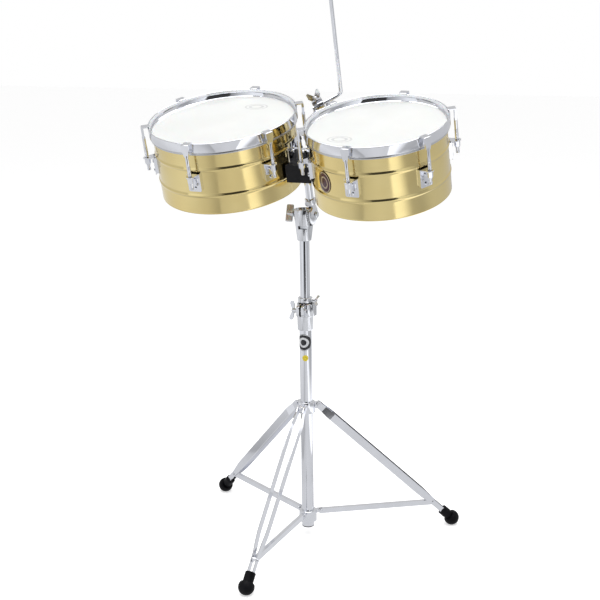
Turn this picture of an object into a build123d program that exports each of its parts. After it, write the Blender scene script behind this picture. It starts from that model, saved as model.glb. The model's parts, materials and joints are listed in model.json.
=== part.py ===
"""Timbales: two brass drums of different size on one tilting, height-adjustable tripod stand.

Origin: on the floor, in the middle of the rectangle that the whole instrument covers.
+Z is up, +X runs from the larger drum to the smaller one, and the player stands on the -Y side.
"""

from math import cos, hypot, radians, sin
import os

from build123d import *

os.makedirs("parts", exist_ok=True)

# ---------------------------------------------------------------- driving dimensions (mm, degrees)
RUN = 0.06  # radial clearance of a running fit
TOUCH = 0.02  # clearance between pieces that are clamped together
TIP_GAP = 0.1  # clearance at the tip of a loosened clamping screw

# the model's origin, the middle of the footprint, as measured from the upright tube's axis
MIDDLE_X = 10.47
MIDDLE_Y = -97

# Tripod
LEG_AZIMUTHS = (30, 150, 270)
FOOT_CIRCLE_R = 388
FOOT_BALL_R = 20
FOOT_Z = 19
FOOT_NECK_R = 13
FOOT_NECK_LENGTH = 36
FOOT_LIP = 9
LEG_PIVOT_R = 32
LEG_PIVOT_Z = 355
LEG_PIN_R = 3
LEG_WIDTH = 20
LEG_SHEET = 2.2
LEG_TAB_Y = 8.5
LEG_SPREAD_Y = 13
LEG_TIP_Y = 6.8
LEG_TAB_WIDTH = 14
STRUT_PIVOT_R = 34
STRUT_PIVOT_Z = 62
STRUT_TIP_R = 337
STRUT_HEIGHT = 13
STRUT_THICKNESS = 10
STRUT_SHEET = 1.5
STRUT_PIN_R = 2.5
RIVET_HEAD = 2
LEG_RIVET_HEAD_R = 5.5
STRUT_RIVET_HEAD_R = 4.5

# Upright tubes
LOWER_TUBE_R = 31.75 / 2
LOWER_TUBE_WALL = 1.6
LOWER_TUBE_BOTTOM = 25
LOWER_TUBE_TOP = 614
UPPER_TUBE_R = 25.4 / 2
UPPER_TUBE_WALL = 1.5
UPPER_TUBE_BOTTOM = 300
UPPER_TUBE_TOP = 822
PLUG_BOTTOM = 22

# Collars on the upright
LEG_COLLAR_R = 22
LEG_COLLAR_BOTTOM = 337
LEG_COLLAR_TOP = 367
LEG_EAR_THICKNESS = 12
SLIDING_COLLAR_R = 23
SLIDING_COLLAR_BOTTOM = 37
SLIDING_COLLAR_TOP = 68
STRUT_EAR_THICKNESS = 6
COLLAR_SCREW_Z = 53
COLLAR_BOSS = 34

# Height clamp and memory lock
CLAMP_BOTTOM = 559
CLAMP_STEP = 596
CLAMP_TOP = 628
CLAMP_R = 22
SLEEVE_BOTTOM_R = 20.3
SLEEVE_TOP_R = 21
CLAMP_BOLT_Z = 613
CLAMP_BOLT_Y = -28
CLAMP_EAR_END = 36
CLAMP_EAR = 8
CLAMP_GAP = 5
CLAMP_BLOCK_X = 27.5
CLAMP_BLOCK_WIDTH = 26
BUSH_FLANGE_R = 16.5
LOCK_BOTTOM = 630
LOCK_TOP = 643
LOCK_R = 18.5
LOCK_BOSS = 28

# Tilter
PIVOT_Z = 857
ROD_X = 21
TILT = 15.8
TILTER_BOTTOM = 790
TILTER_TOP = 870
TILTER_BOTTOM_R = 18
TILTER_TOP_R = 26
TILTER_FACE_X = 18.5
TILTER_DISC_R = 26
TILTER_DISC_X = 19
TILTER_DISC_THICKNESS = 13
TILTER_SLOT_BOTTOM = 821
TILTER_SLOT_TOP = 829
TILTER_BOLT_R = 4
TILTER_ROD_R = 9.5
TILTER_ROD_BOTTOM = 29
TILTER_ROD_TOP = 175
ROD_BARREL_R = 13
ROD_BARREL_TOP = 43
ROD_SCREW_HEIGHT = 36
ROD_SCREW_HEAD_R = 7
ROD_SCREW_KNURLS = 20
PADDLE_START = 3.5
PADDLE_WIDTH = 19
PADDLE_LENGTH = 44
PADDLE_THICKNESS = 5
RATCHET_TEETH = 30

# Drums: the rim plane is this far from the tilt pivot, along the drum axis
RIM_FROM_PIVOT = 257
LEFT_SHELL_R = 14 * 25.4 / 2
RIGHT_SHELL_R = 13 * 25.4 / 2
SHELL_GAP = 59.3
SHELL_WALL = 1.2
BEARING_DROP = 17
SHELL_DEPTH = 170
BEAD_DROPS = (70, 137.5)
BEAD_R = 4.6
BEAD_CENTRE_IN = 2.4
HEAD_FILM = 0.5
RIM_HEIGHT = 24
RIM_OUT = 8
RIM_BAND = 2.3
LUGS = 6
LEFT_LUG_START = 28.5
RIGHT_LUG_START = 26.5
LUG_TOP = 78
LUG_HEIGHT = 45
LUG_WIDTH = 34
LUG_STANDOFF = 7.5
LUG_SHEET = 2
ROD_OUT = 22
HOOK_ROD_R = 4.25
HOOK_ROD_END = 112
NUT_ACROSS_FLATS = 12.7
LUG_SCREW_R = 2.5
LUG_SCREW_DROPS = (91, 114)

# Bracket between the drums
BRACKET_BOTTOM = 149
BRACKET_TOP = 104
ROD_SLEEVE_TOP = 99
BRACKET_DEPTH = 104
BRACKET_WALL = 4
PLATE_STANDOFF = 2.3
PLATE_THICKNESS = 3
PLATE_WIDTH = 60
PLATE_BOTTOM = 152
PLATE_TOP = 58
BRACKET_BOLT_R = 3
BRACKET_BOLT_HEAD = 3.2
BRACKET_BOLT_V = 18
BRACKET_BOLT_DROPS = (79, 123)
WING_BOLT_R = 3
BRACKET_WING_DROP = 123

# Cowbell holder: places are across the pair, towards the audience, and above the rim plane
HOLDER_CENTRE = (27, 112, -12)
HOLDER_BEND = (78, 138, 10)
COWBELL_ROD_TOP = 290
COWBELL_ROD_R = 4.75
HOLDER_BARREL_R = 12
HOLDER_ARM_WIDTH = 20
HOLDER_ARM_SHEET = 6
HOLDER_ARM_V = 44

# Badges
DRUM_BADGE_AZIMUTH = 237
DRUM_BADGE_DROP = 104
DRUM_BADGE_WIDTH = 44
DRUM_BADGE_HEIGHT = 54
DRUM_BADGE_BORDER = 3.5
DRUM_BADGE_THICKNESS = 1.4
STAND_BADGE_R = 22
STAND_BADGE_Z = 527
INSPECTION_DOT_R = 8
INSPECTION_DOT_Z = 486
LABEL_THICKNESS = 0.4


def finish(piece, name):
    """Moves one finished piece from the tube's axis to the model's origin, labels it and writes it."""
    placed = piece.moved(Location((-MIDDLE_X, -MIDDLE_Y, 0)))
    placed.label = name
    export_step(placed, f"parts/{name}.step")


def turned(azimuth):
    """Frame on the upright's axis whose X axis points along azimuth."""
    return Plane.XY.rotated((0, 0, azimuth))


# ---------------------------------------------------------------- planes
tilt = radians(TILT)
drum_axis = Vector(0, -sin(tilt), cos(tilt))
away = Vector(0, cos(tilt), sin(tilt))  # along the drum heads, from the player to the audience
pivot = Vector(ROD_X, 0, PIVOT_Z)
gap_centre = pivot + drum_axis * RIM_FROM_PIVOT

tilt_plane = Plane(origin=pivot, x_dir=(1, 0, 0), z_dir=drum_axis)
gap_plane = Plane(origin=gap_centre, x_dir=(1, 0, 0), z_dir=drum_axis)
left_x = -(SHELL_GAP / 2 + LEFT_SHELL_R)
right_x = SHELL_GAP / 2 + RIGHT_SHELL_R


def across(point):
    """Turns a place on the gap plane (x, v, h) into the model's own frame."""
    x, v, h = point
    return gap_centre + Vector(x - ROD_X, 0, 0) + away * v + drum_axis * h


# ---------------------------------------------------------------- fasteners shared by several joints
def wing_ear(reach, height, lift):
    """Outline of one ear of a wing screw, out from its axis; lift raises the foot of the ear."""
    root = 2
    span = height - lift
    return [
        (root, lift + 1),
        (reach * 0.7, lift + span * 0.12),
        (reach, lift + span * 0.4),
        (reach, lift + span * 0.95),
        (reach * 0.7, height),
        (root, lift + span * 0.5),
    ]


def wing_screw(shank_r, shank, hub_r, hub, reach, height, lift=0):
    """Wing screw standing on the XY plane, with its shank below."""
    with BuildPart() as wing:
        Cylinder(hub_r, hub, align=(Align.CENTER, Align.CENTER, Align.MIN))
        chamfer(wing.edges().group_by(Axis.Z)[-1], 1)
        with BuildSketch(Plane.XZ) as ears:
            for side in (1, -1):
                with BuildLine():
                    Polyline(*[(side * x, z) for x, z in wing_ear(reach, height, lift)], close=True)
                make_face()
            fillet(ears.vertices().filter_by(lambda corner: abs(corner.X) > 3), reach * 0.12)
        extrude(amount=1.8, both=True)
        if shank:
            Cylinder(shank_r, shank, align=(Align.CENTER, Align.CENTER, Align.MAX))
    return wing.part


# ---------------------------------------------------------------- upright tubes
with BuildPart() as lower_tube:
    with BuildSketch(Plane.XY.offset(LOWER_TUBE_BOTTOM)):
        Circle(LOWER_TUBE_R)
        Circle(LOWER_TUBE_R - LOWER_TUBE_WALL, mode=Mode.SUBTRACT)
    extrude(amount=LOWER_TUBE_TOP - LOWER_TUBE_BOTTOM)
finish(lower_tube.part, "lower_tube")

with BuildPart() as tube_end_plug:
    with BuildSketch(Plane.XY.offset(PLUG_BOTTOM)):
        Circle(LOWER_TUBE_R)
    extrude(amount=LOWER_TUBE_BOTTOM - PLUG_BOTTOM)
    chamfer(tube_end_plug.edges().group_by(Axis.Z)[0], 1)
    with BuildSketch(Plane.XY.offset(LOWER_TUBE_BOTTOM)):
        Circle(LOWER_TUBE_R - LOWER_TUBE_WALL - TOUCH)
    extrude(amount=18)
finish(tube_end_plug.part, "tube_end_plug")

with BuildPart() as upper_tube:
    with BuildSketch(Plane.XY.offset(UPPER_TUBE_BOTTOM)):
        Circle(UPPER_TUBE_R)
        Circle(UPPER_TUBE_R - UPPER_TUBE_WALL, mode=Mode.SUBTRACT)
    extrude(amount=UPPER_TUBE_TOP - UPPER_TUBE_BOTTOM)
finish(upper_tube.part, "upper_tube")

# ---------------------------------------------------------------- collars that carry the legs
with BuildPart() as leg_collar:
    with BuildSketch(Plane.XY.offset(LEG_COLLAR_BOTTOM)):
        Circle(LEG_COLLAR_R)
    extrude(amount=LEG_COLLAR_TOP - LEG_COLLAR_BOTTOM)
    chamfer(leg_collar.edges().filter_by(GeomType.CIRCLE), 1)
    for azimuth in LEG_AZIMUTHS:
        ear_face = Plane(turned(azimuth).origin, turned(azimuth).x_dir, -turned(azimuth).y_dir)
        with BuildSketch(ear_face):
            with Locations((LEG_PIVOT_R, LEG_PIVOT_Z)):
                Circle(8)
            with Locations((LEG_PIVOT_R / 2 + 5, LEG_PIVOT_Z)):
                Rectangle(LEG_PIVOT_R - 10, 16)
        extrude(amount=LEG_EAR_THICKNESS / 2, both=True)
        with BuildSketch(ear_face):
            with Locations((LEG_PIVOT_R, LEG_PIVOT_Z)):
                Circle(LEG_PIN_R + TOUCH)
        extrude(amount=LEG_EAR_THICKNESS, both=True, mode=Mode.SUBTRACT)
    with BuildSketch(Plane.XY.offset(LEG_COLLAR_BOTTOM)):
        Circle(LOWER_TUBE_R + TOUCH)
    extrude(amount=LEG_COLLAR_TOP - LEG_COLLAR_BOTTOM, mode=Mode.SUBTRACT)
finish(leg_collar.part, "leg_collar")

with BuildPart() as sliding_collar:
    with BuildSketch(Plane.XY.offset(SLIDING_COLLAR_BOTTOM)):
        Circle(SLIDING_COLLAR_R)
    extrude(amount=SLIDING_COLLAR_TOP - SLIDING_COLLAR_BOTTOM)
    chamfer(sliding_collar.edges().filter_by(GeomType.CIRCLE), 1.5)
    for azimuth in LEG_AZIMUTHS:
        ear_face = Plane(turned(azimuth).origin, turned(azimuth).x_dir, -turned(azimuth).y_dir)
        with BuildSketch(ear_face):
            with Locations((STRUT_PIVOT_R, STRUT_PIVOT_Z)):
                Circle(4.8)
            with Locations((STRUT_PIVOT_R / 2 + 5, STRUT_PIVOT_Z)):
                Rectangle(STRUT_PIVOT_R - 10, 9.6)
        extrude(amount=STRUT_EAR_THICKNESS / 2, both=True)
        with BuildSketch(ear_face):
            with Locations((STRUT_PIVOT_R, STRUT_PIVOT_Z)):
                Circle(STRUT_PIN_R + TOUCH)
        extrude(amount=STRUT_EAR_THICKNESS, both=True, mode=Mode.SUBTRACT)
    with BuildSketch(Plane.XZ):
        with Locations((0, COLLAR_SCREW_Z)):
            Circle(7)
    extrude(amount=-COLLAR_BOSS)
    with BuildSketch(Plane.XZ):
        with Locations((0, COLLAR_SCREW_Z)):
            Circle(WING_BOLT_R + RUN)
    extrude(amount=-COLLAR_BOSS, mode=Mode.SUBTRACT)
    with BuildSketch(Plane.XY.offset(SLIDING_COLLAR_BOTTOM)):
        Circle(LOWER_TUBE_R + RUN)
    extrude(amount=SLIDING_COLLAR_TOP - SLIDING_COLLAR_BOTTOM, mode=Mode.SUBTRACT)
finish(sliding_collar.part, "sliding_collar")


def pivot_rivet(pin_r, grip, head_r):
    """Rivet along Y, centred on the origin, with a domed head outside each end of its grip."""
    with BuildPart() as rivet:
        with BuildSketch(Plane.XZ):
            Circle(pin_r)
        extrude(amount=grip, both=True)
        for side in (1, -1):
            with BuildSketch(Plane.XZ.offset(side * grip)):
                Circle(head_r)
            extrude(amount=side * RIVET_HEAD)
        fillet(rivet.edges().group_by(Axis.Y)[0], 1)
        fillet(rivet.edges().group_by(Axis.Y)[-1], 1)
    return rivet.part


leg_rivet = pivot_rivet(LEG_PIN_R, LEG_TAB_Y + LEG_SHEET / 2 + 0.1, LEG_RIVET_HEAD_R)
with BuildPart() as leg_pivot_rivets:
    with PolarLocations(LEG_PIVOT_R, 3, start_angle=LEG_AZIMUTHS[0]):
        with Locations((0, 0, LEG_PIVOT_Z)):
            add(leg_rivet)
finish(leg_pivot_rivets.part, "leg_pivot_rivets")

strut_rivet = pivot_rivet(STRUT_PIN_R, STRUT_THICKNESS / 2 + 0.1, STRUT_RIVET_HEAD_R)
with BuildPart() as strut_pivot_rivets:
    with PolarLocations(STRUT_PIVOT_R, 3, start_angle=LEG_AZIMUTHS[0]):
        with Locations((0, 0, STRUT_PIVOT_Z)):
            add(strut_rivet)
finish(strut_pivot_rivets.part, "strut_pivot_rivets")

screw_seat = Plane(origin=(0, COLLAR_BOSS + TIP_GAP, COLLAR_SCREW_Z), x_dir=(1, 0, 0), z_dir=(0, 1, 0))
with BuildPart(screw_seat) as collar_wing_screw:
    add(wing_screw(WING_BOLT_R, COLLAR_BOSS - LOWER_TUBE_R, 5.5, 7, 14, 16))
finish(collar_wing_screw.part, "collar_wing_screw")

# ---------------------------------------------------------------- legs, drawn on azimuth 0
leg_run = FOOT_CIRCLE_R - LEG_PIVOT_R
leg_drop = LEG_PIVOT_Z - FOOT_Z
leg_length = hypot(leg_run, leg_drop)
leg_dir = Vector(leg_run, 0, -leg_drop).normalized()
leg_up = Vector(leg_drop, 0, leg_run).normalized()
leg_pivot = Vector(LEG_PIVOT_R, 0, LEG_PIVOT_Z)
leg_top = Plane(origin=leg_pivot, x_dir=leg_dir, z_dir=leg_up)
leg_side = Plane(origin=leg_pivot, x_dir=leg_dir, z_dir=(0, -1, 0))
strut_tip_at = (STRUT_TIP_R - LEG_PIVOT_R) * leg_length / leg_run
strut_tip = leg_pivot + leg_dir * strut_tip_at
foot_centre = leg_pivot + leg_dir * leg_length
leg_tab_end = leg_length - FOOT_NECK_LENGTH + 22

# distance from the pivot along the leg, and from the leg's middle plane
strip_path = [
    (-9, LEG_TAB_Y),
    (16, LEG_TAB_Y),
    (46, LEG_SPREAD_Y),
    (strut_tip_at - 70, LEG_SPREAD_Y - 1.5),
    (strut_tip_at - 16, LEG_TIP_Y),
    (leg_tab_end, LEG_TIP_Y),
]
# distance from the pivot along the leg, and half the strip's height there
strip_height = [
    (0, 8.5),
    (14, 8.5),
    (34, LEG_WIDTH / 2),
    (strut_tip_at - 40, LEG_WIDTH / 2),
    (strut_tip_at - 4, LEG_TAB_WIDTH / 2),
    (leg_tab_end, LEG_TAB_WIDTH / 2),
]

with BuildPart() as leg_strips:
    with BuildSketch(leg_top):
        for side in (1, -1):
            outer = [(x, side * (y + LEG_SHEET / 2)) for x, y in strip_path]
            inner = [(x, side * (y - LEG_SHEET / 2)) for x, y in reversed(strip_path)]
            with BuildLine():
                Polyline(*outer, *inner, close=True)
            make_face()
    extrude(amount=LEG_WIDTH / 2, both=True)
    with BuildSketch(leg_side):
        Circle(8.5)
        upper = [(x, half) for x, half in strip_height]
        lower = [(x, -half) for x, half in reversed(strip_height)]
        with BuildLine():
            Polyline(*upper, *lower, close=True)
        make_face()
    extrude(amount=LEG_SPREAD_Y + LEG_SHEET, both=True, mode=Mode.INTERSECT)
    with BuildSketch(leg_side):
        Circle(LEG_PIN_R + RUN)
        with Locations((strut_tip_at, 0)):
            Circle(STRUT_PIN_R + TOUCH)
    extrude(amount=LEG_SPREAD_Y + LEG_SHEET, both=True, mode=Mode.SUBTRACT)

with BuildPart() as foot_shape:
    with BuildSketch(leg_top):
        with Locations((leg_length - FOOT_NECK_LENGTH / 2, 0)):
            Rectangle(FOOT_NECK_LENGTH, 2 * FOOT_NECK_R)
        with Locations((leg_length, 0)):
            Circle(FOOT_BALL_R)
        with Locations((leg_length - FOOT_LIP - 20, FOOT_NECK_R + 10)):
            Rectangle(40, 20, mode=Mode.SUBTRACT)
        with Locations((leg_length, -FOOT_BALL_R)):
            Rectangle(4 * FOOT_BALL_R, 2 * FOOT_BALL_R, mode=Mode.SUBTRACT)
    revolve(axis=Axis(leg_pivot, leg_dir))
    add(leg_strips.part, mode=Mode.SUBTRACT)
    with Locations((FOOT_CIRCLE_R, 0, -FOOT_BALL_R)):
        Box(4 * FOOT_BALL_R, 4 * FOOT_BALL_R, 2 * FOOT_BALL_R, mode=Mode.SUBTRACT)

# the strut's tongue reaches between the strips; its rivet stays in the strips so that the leg can fold
with BuildPart() as tip_rivet_shape:
    for side in (1, -1):
        tip_side = Plane(strut_tip, x_dir=leg_dir, z_dir=(0, side, 0))
        with BuildSketch(tip_side.offset(LEG_TIP_Y - LEG_SHEET / 2)):
            Circle(STRUT_PIN_R)
        extrude(amount=LEG_SHEET + TOUCH)
        with BuildSketch(tip_side.offset(LEG_TIP_Y + LEG_SHEET / 2 + TOUCH)):
            Circle(STRUT_RIVET_HEAD_R)
        extrude(amount=RIVET_HEAD)

strut_root = Vector(STRUT_PIVOT_R, 0, STRUT_PIVOT_Z)
strut_dir = (strut_tip - strut_root).normalized()
strut_length = (strut_tip - strut_root).length
strut_side = Plane(origin=strut_root, x_dir=strut_dir, z_dir=(0, -1, 0))

with BuildPart() as strut_shape:
    with BuildSketch(strut_side):
        with Locations((strut_length / 2, 0)):
            SlotCenterToCenter(strut_length, STRUT_HEIGHT)
    extrude(amount=STRUT_THICKNESS / 2, both=True)
    with BuildSketch(strut_side):
        with Locations((strut_length / 2, -STRUT_SHEET)):
            Rectangle(2 * strut_length, STRUT_HEIGHT)
    extrude(amount=STRUT_THICKNESS / 2 - STRUT_SHEET, both=True, mode=Mode.SUBTRACT)
    with BuildSketch(strut_side):
        Circle(STRUT_HEIGHT / 2 + 1)
    extrude(amount=STRUT_THICKNESS / 2 - STRUT_SHEET, both=True, mode=Mode.SUBTRACT)
    with BuildSketch(strut_side):
        Circle(STRUT_PIN_R + RUN)
    extrude(amount=STRUT_THICKNESS, both=True, mode=Mode.SUBTRACT)

for number, azimuth in enumerate(LEG_AZIMUTHS, 1):
    with BuildPart(turned(azimuth)) as leg:
        add(leg_strips.part)
    finish(leg.part, f"leg_{number}")
    with BuildPart(turned(azimuth)) as foot:
        add(foot_shape.part)
    finish(foot.part, f"foot_{number}")
    with BuildPart(turned(azimuth)) as tip_rivets:
        add(tip_rivet_shape.part)
    finish(tip_rivets.part, f"leg_tip_rivets_{number}")
    with BuildPart(turned(azimuth)) as strut:
        add(strut_shape.part)
    finish(strut.part, f"strut_{number}")

# ---------------------------------------------------------------- height clamp, bush and memory lock
clamp_face = Plane.YZ
clamp_cheek = CLAMP_GAP / 2 + CLAMP_EAR
with BuildPart() as height_clamp:
    with BuildSketch(Plane.XZ):
        with BuildLine():
            Polyline(
                (0, CLAMP_BOTTOM),
                (SLEEVE_BOTTOM_R, CLAMP_BOTTOM),
                (SLEEVE_TOP_R, CLAMP_STEP),
                (CLAMP_R, CLAMP_STEP + 2),
                (CLAMP_R, CLAMP_TOP - 1.5),
                (CLAMP_R - 1.5, CLAMP_TOP),
                (0, CLAMP_TOP),
                close=True,
            )
        make_face()
    revolve(axis=Axis.Z)
    with BuildSketch(Plane.XY.offset(CLAMP_STEP + 1)) as clamp_block:
        with Locations((CLAMP_BLOCK_X / 2, 0)):
            Rectangle(CLAMP_BLOCK_X, CLAMP_BLOCK_WIDTH)
        fillet(clamp_block.vertices().group_by(Axis.X)[-1], 5)
    extrude(amount=CLAMP_TOP - CLAMP_STEP - 2)
    with BuildSketch(clamp_face) as clamp_ears:
        with Locations((-CLAMP_EAR_END / 2, (CLAMP_STEP + CLAMP_TOP) / 2)):
            Rectangle(CLAMP_EAR_END, CLAMP_TOP - CLAMP_STEP - 2)
        fillet(clamp_ears.vertices().group_by(Axis.X)[0], 8)
    extrude(amount=clamp_cheek, both=True)
    with BuildSketch(clamp_face):
        with Locations((-CLAMP_EAR_END / 2 - 2, (CLAMP_STEP + CLAMP_TOP) / 2)):
            Rectangle(CLAMP_EAR_END, CLAMP_TOP - CLAMP_STEP + 2)
    extrude(amount=CLAMP_GAP / 2, both=True, mode=Mode.SUBTRACT)
    with BuildSketch(clamp_face):
        with Locations((CLAMP_BOLT_Y, CLAMP_BOLT_Z)):
            Circle(WING_BOLT_R + RUN)
    extrude(amount=2 * clamp_cheek, both=True, mode=Mode.SUBTRACT)
    with BuildSketch(Plane.XY.offset(CLAMP_BOTTOM)):
        Circle(LOWER_TUBE_R + TOUCH)
    extrude(amount=LOWER_TUBE_TOP - CLAMP_BOTTOM, mode=Mode.SUBTRACT)
    with BuildSketch(Plane.XY.offset(LOWER_TUBE_TOP)):
        Circle(BUSH_FLANGE_R + RUN)
    extrude(amount=CLAMP_TOP - LOWER_TUBE_TOP, mode=Mode.SUBTRACT)
finish(height_clamp.part, "height_clamp")

bolt_side = Plane(origin=(0, CLAMP_BOLT_Y, CLAMP_BOLT_Z), x_dir=(0, 1, 0), z_dir=(-1, 0, 0))
with BuildPart(bolt_side) as clamp_bolt:
    with Locations((0, 0, -clamp_cheek - TOUCH)):
        Cylinder(WING_BOLT_R, 2 * clamp_cheek + 15, align=(Align.CENTER, Align.CENTER, Align.MIN))
        Cylinder(7, 5, align=(Align.CENTER, Align.CENTER, Align.MAX))
    with BuildSketch(Plane.YZ.offset(clamp_cheek + 2)):
        with Locations((CLAMP_BOLT_Y, CLAMP_BOLT_Z)):
            RegularPolygon(3.2, 6, major_radius=False)
    extrude(amount=10, mode=Mode.SUBTRACT)
finish(clamp_bolt.part, "clamp_bolt")

nut_side = Plane(
    origin=(-clamp_cheek - TOUCH, CLAMP_BOLT_Y, CLAMP_BOLT_Z), x_dir=(0, 0.2, 0.98), z_dir=(-1, 0, 0)
)
with BuildPart(nut_side) as clamp_wing_nut:
    add(wing_screw(0, 0, 6, 13, 24, 20, lift=7))
    Cylinder(WING_BOLT_R + RUN, 60, mode=Mode.SUBTRACT)
finish(clamp_wing_nut.part, "clamp_wing_nut")

with BuildPart() as clamp_bush:
    with BuildSketch(Plane.XY.offset(LOWER_TUBE_TOP - 40)):
        Circle(LOWER_TUBE_R - LOWER_TUBE_WALL - RUN)
    extrude(amount=40)
    with BuildSketch(Plane.XY.offset(LOWER_TUBE_TOP + TOUCH)):
        Circle(BUSH_FLANGE_R)
    extrude(amount=CLAMP_TOP - LOWER_TUBE_TOP - 1)
    with BuildSketch(Plane.XY.offset(LOWER_TUBE_TOP - 1)):
        Circle(LOWER_TUBE_R - LOWER_TUBE_WALL - RUN)
    extrude(amount=2)
    with BuildSketch(Plane.XY.offset(LOWER_TUBE_TOP - 50)):
        Circle(UPPER_TUBE_R + RUN)
    extrude(amount=80, mode=Mode.SUBTRACT)
finish(clamp_bush.part, "clamp_bush")

lock_screw_z = (LOCK_BOTTOM + LOCK_TOP) / 2
with BuildPart() as memory_lock:
    with BuildSketch(Plane.XY.offset(LOCK_BOTTOM)):
        Circle(LOCK_R)
    extrude(amount=LOCK_TOP - LOCK_BOTTOM)
    chamfer(memory_lock.edges().filter_by(GeomType.CIRCLE), 1)
    with BuildSketch(Plane.YZ):
        with Locations((0, lock_screw_z)):
            Circle(5.5)
    extrude(amount=LOCK_BOSS)
    with BuildSketch(Plane.YZ):
        with Locations((0, lock_screw_z)):
            Circle(WING_BOLT_R + TOUCH)
    extrude(amount=LOCK_BOSS, mode=Mode.SUBTRACT)
    with BuildSketch(Plane.XY.offset(LOCK_BOTTOM)):
        Circle(UPPER_TUBE_R + RUN)
        with Locations((-LOCK_R, 0)):
            Rectangle(2 * (LOCK_R - UPPER_TUBE_R), 2)
    extrude(amount=LOCK_TOP - LOCK_BOTTOM, mode=Mode.SUBTRACT)
finish(memory_lock.part, "memory_lock")

lock_side = Plane(origin=(LOCK_BOSS + TOUCH, 0, lock_screw_z), x_dir=(0, 0.6, 0.8), z_dir=(1, 0, 0))
with BuildPart(lock_side) as memory_lock_screw:
    add(wing_screw(WING_BOLT_R, LOCK_BOSS - UPPER_TUBE_R - TIP_GAP, 5, 4, 14, 9))
finish(memory_lock_screw.part, "memory_lock_screw")

# ---------------------------------------------------------------- tilter
with BuildPart() as tilter_base:
    with BuildSketch(Plane.XZ):
        with BuildLine():
            Polyline(
                (0, TILTER_BOTTOM),
                (TILTER_BOTTOM_R - 1, TILTER_BOTTOM),
                (TILTER_BOTTOM_R, TILTER_BOTTOM + 1),
                (TILTER_TOP_R, TILTER_TOP - 10),
                (TILTER_TOP_R, TILTER_TOP - 1),
                (TILTER_TOP_R - 1, TILTER_TOP),
                (0, TILTER_TOP),
                close=True,
            )
        make_face()
    revolve(axis=Axis.Z)
    with BuildSketch(Plane.XY.offset(TILTER_TOP - 26)):
        Circle(TILTER_TOP_R - 5)
        with Locations((TILTER_FACE_X, 0)):
            Rectangle(10, 2 * TILTER_TOP_R, mode=Mode.SUBTRACT)
    extrude(amount=26, mode=Mode.SUBTRACT)
    with BuildSketch(Plane.XY.offset(TILTER_SLOT_TOP)):
        with Locations((TILTER_FACE_X + 20, 0)):
            Rectangle(40, 80)
    extrude(amount=60, mode=Mode.SUBTRACT)
    with BuildSketch(Plane.XY.offset(TILTER_SLOT_BOTTOM)):
        with Locations((11, -UPPER_TUBE_R - 9.5)):
            Rectangle(38, 15)
    extrude(amount=TILTER_SLOT_TOP - TILTER_SLOT_BOTTOM, mode=Mode.SUBTRACT)
    with BuildSketch(Plane.YZ):
        with Locations((0, PIVOT_Z)):
            Circle(TILTER_BOLT_R + TOUCH)
    extrude(amount=40, both=True, mode=Mode.SUBTRACT)
    with BuildSketch(Plane.XY.offset(TILTER_BOTTOM)):
        Circle(UPPER_TUBE_R + TOUCH)
    extrude(amount=UPPER_TUBE_TOP - TILTER_BOTTOM, mode=Mode.SUBTRACT)
finish(tilter_base.part, "tilter_base")

disc_end = TILTER_DISC_X + TILTER_DISC_THICKNESS
rod_screw_at = pivot + drum_axis * ROD_SCREW_HEIGHT
tilter_bolt_length = disc_end + TILTER_TOP_R + 16
pivot_plane = Plane(origin=(0, 0, PIVOT_Z), x_dir=(0, 1, 0), z_dir=(1, 0, 0))
with BuildPart(pivot_plane) as tilter_bolt:
    with Locations((0, 0, disc_end + TOUCH)):
        Cylinder(TILTER_BOLT_R, tilter_bolt_length, align=(Align.CENTER, Align.CENTER, Align.MAX))
        Cylinder(8.5, 5, align=(Align.CENTER, Align.CENTER, Align.MIN))
    chamfer(tilter_bolt.edges().group_by(Axis.X)[-1], 1.5)
finish(tilter_bolt.part, "tilter_bolt")

# the nut's two ears form one flat paddle that stands off the tilter
with BuildPart() as paddle_nut:
    Cylinder(8.5, PADDLE_START + PADDLE_WIDTH / 2, align=(Align.CENTER, Align.CENTER, Align.MIN))
    with BuildSketch(Plane.XZ):
        with Locations((0, PADDLE_START + PADDLE_WIDTH / 2)):
            RectangleRounded(PADDLE_LENGTH, PADDLE_WIDTH, 3)
    extrude(amount=PADDLE_THICKNESS / 2, both=True)
    chamfer(paddle_nut.edges().group_by(Axis.X)[0], 1)
    chamfer(paddle_nut.edges().group_by(Axis.X)[-1], 1)
    Cylinder(TILTER_BOLT_R + RUN, 4 * PADDLE_WIDTH, mode=Mode.SUBTRACT)

nut_side = Plane(origin=(-TILTER_TOP_R - TOUCH, 0, PIVOT_Z), x_dir=(0, 0.3, 0.95), z_dir=(-1, 0, 0))
with BuildPart(nut_side) as tilter_wing_nut:
    add(paddle_nut.part)
finish(tilter_wing_nut.part, "tilter_wing_nut")

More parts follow.
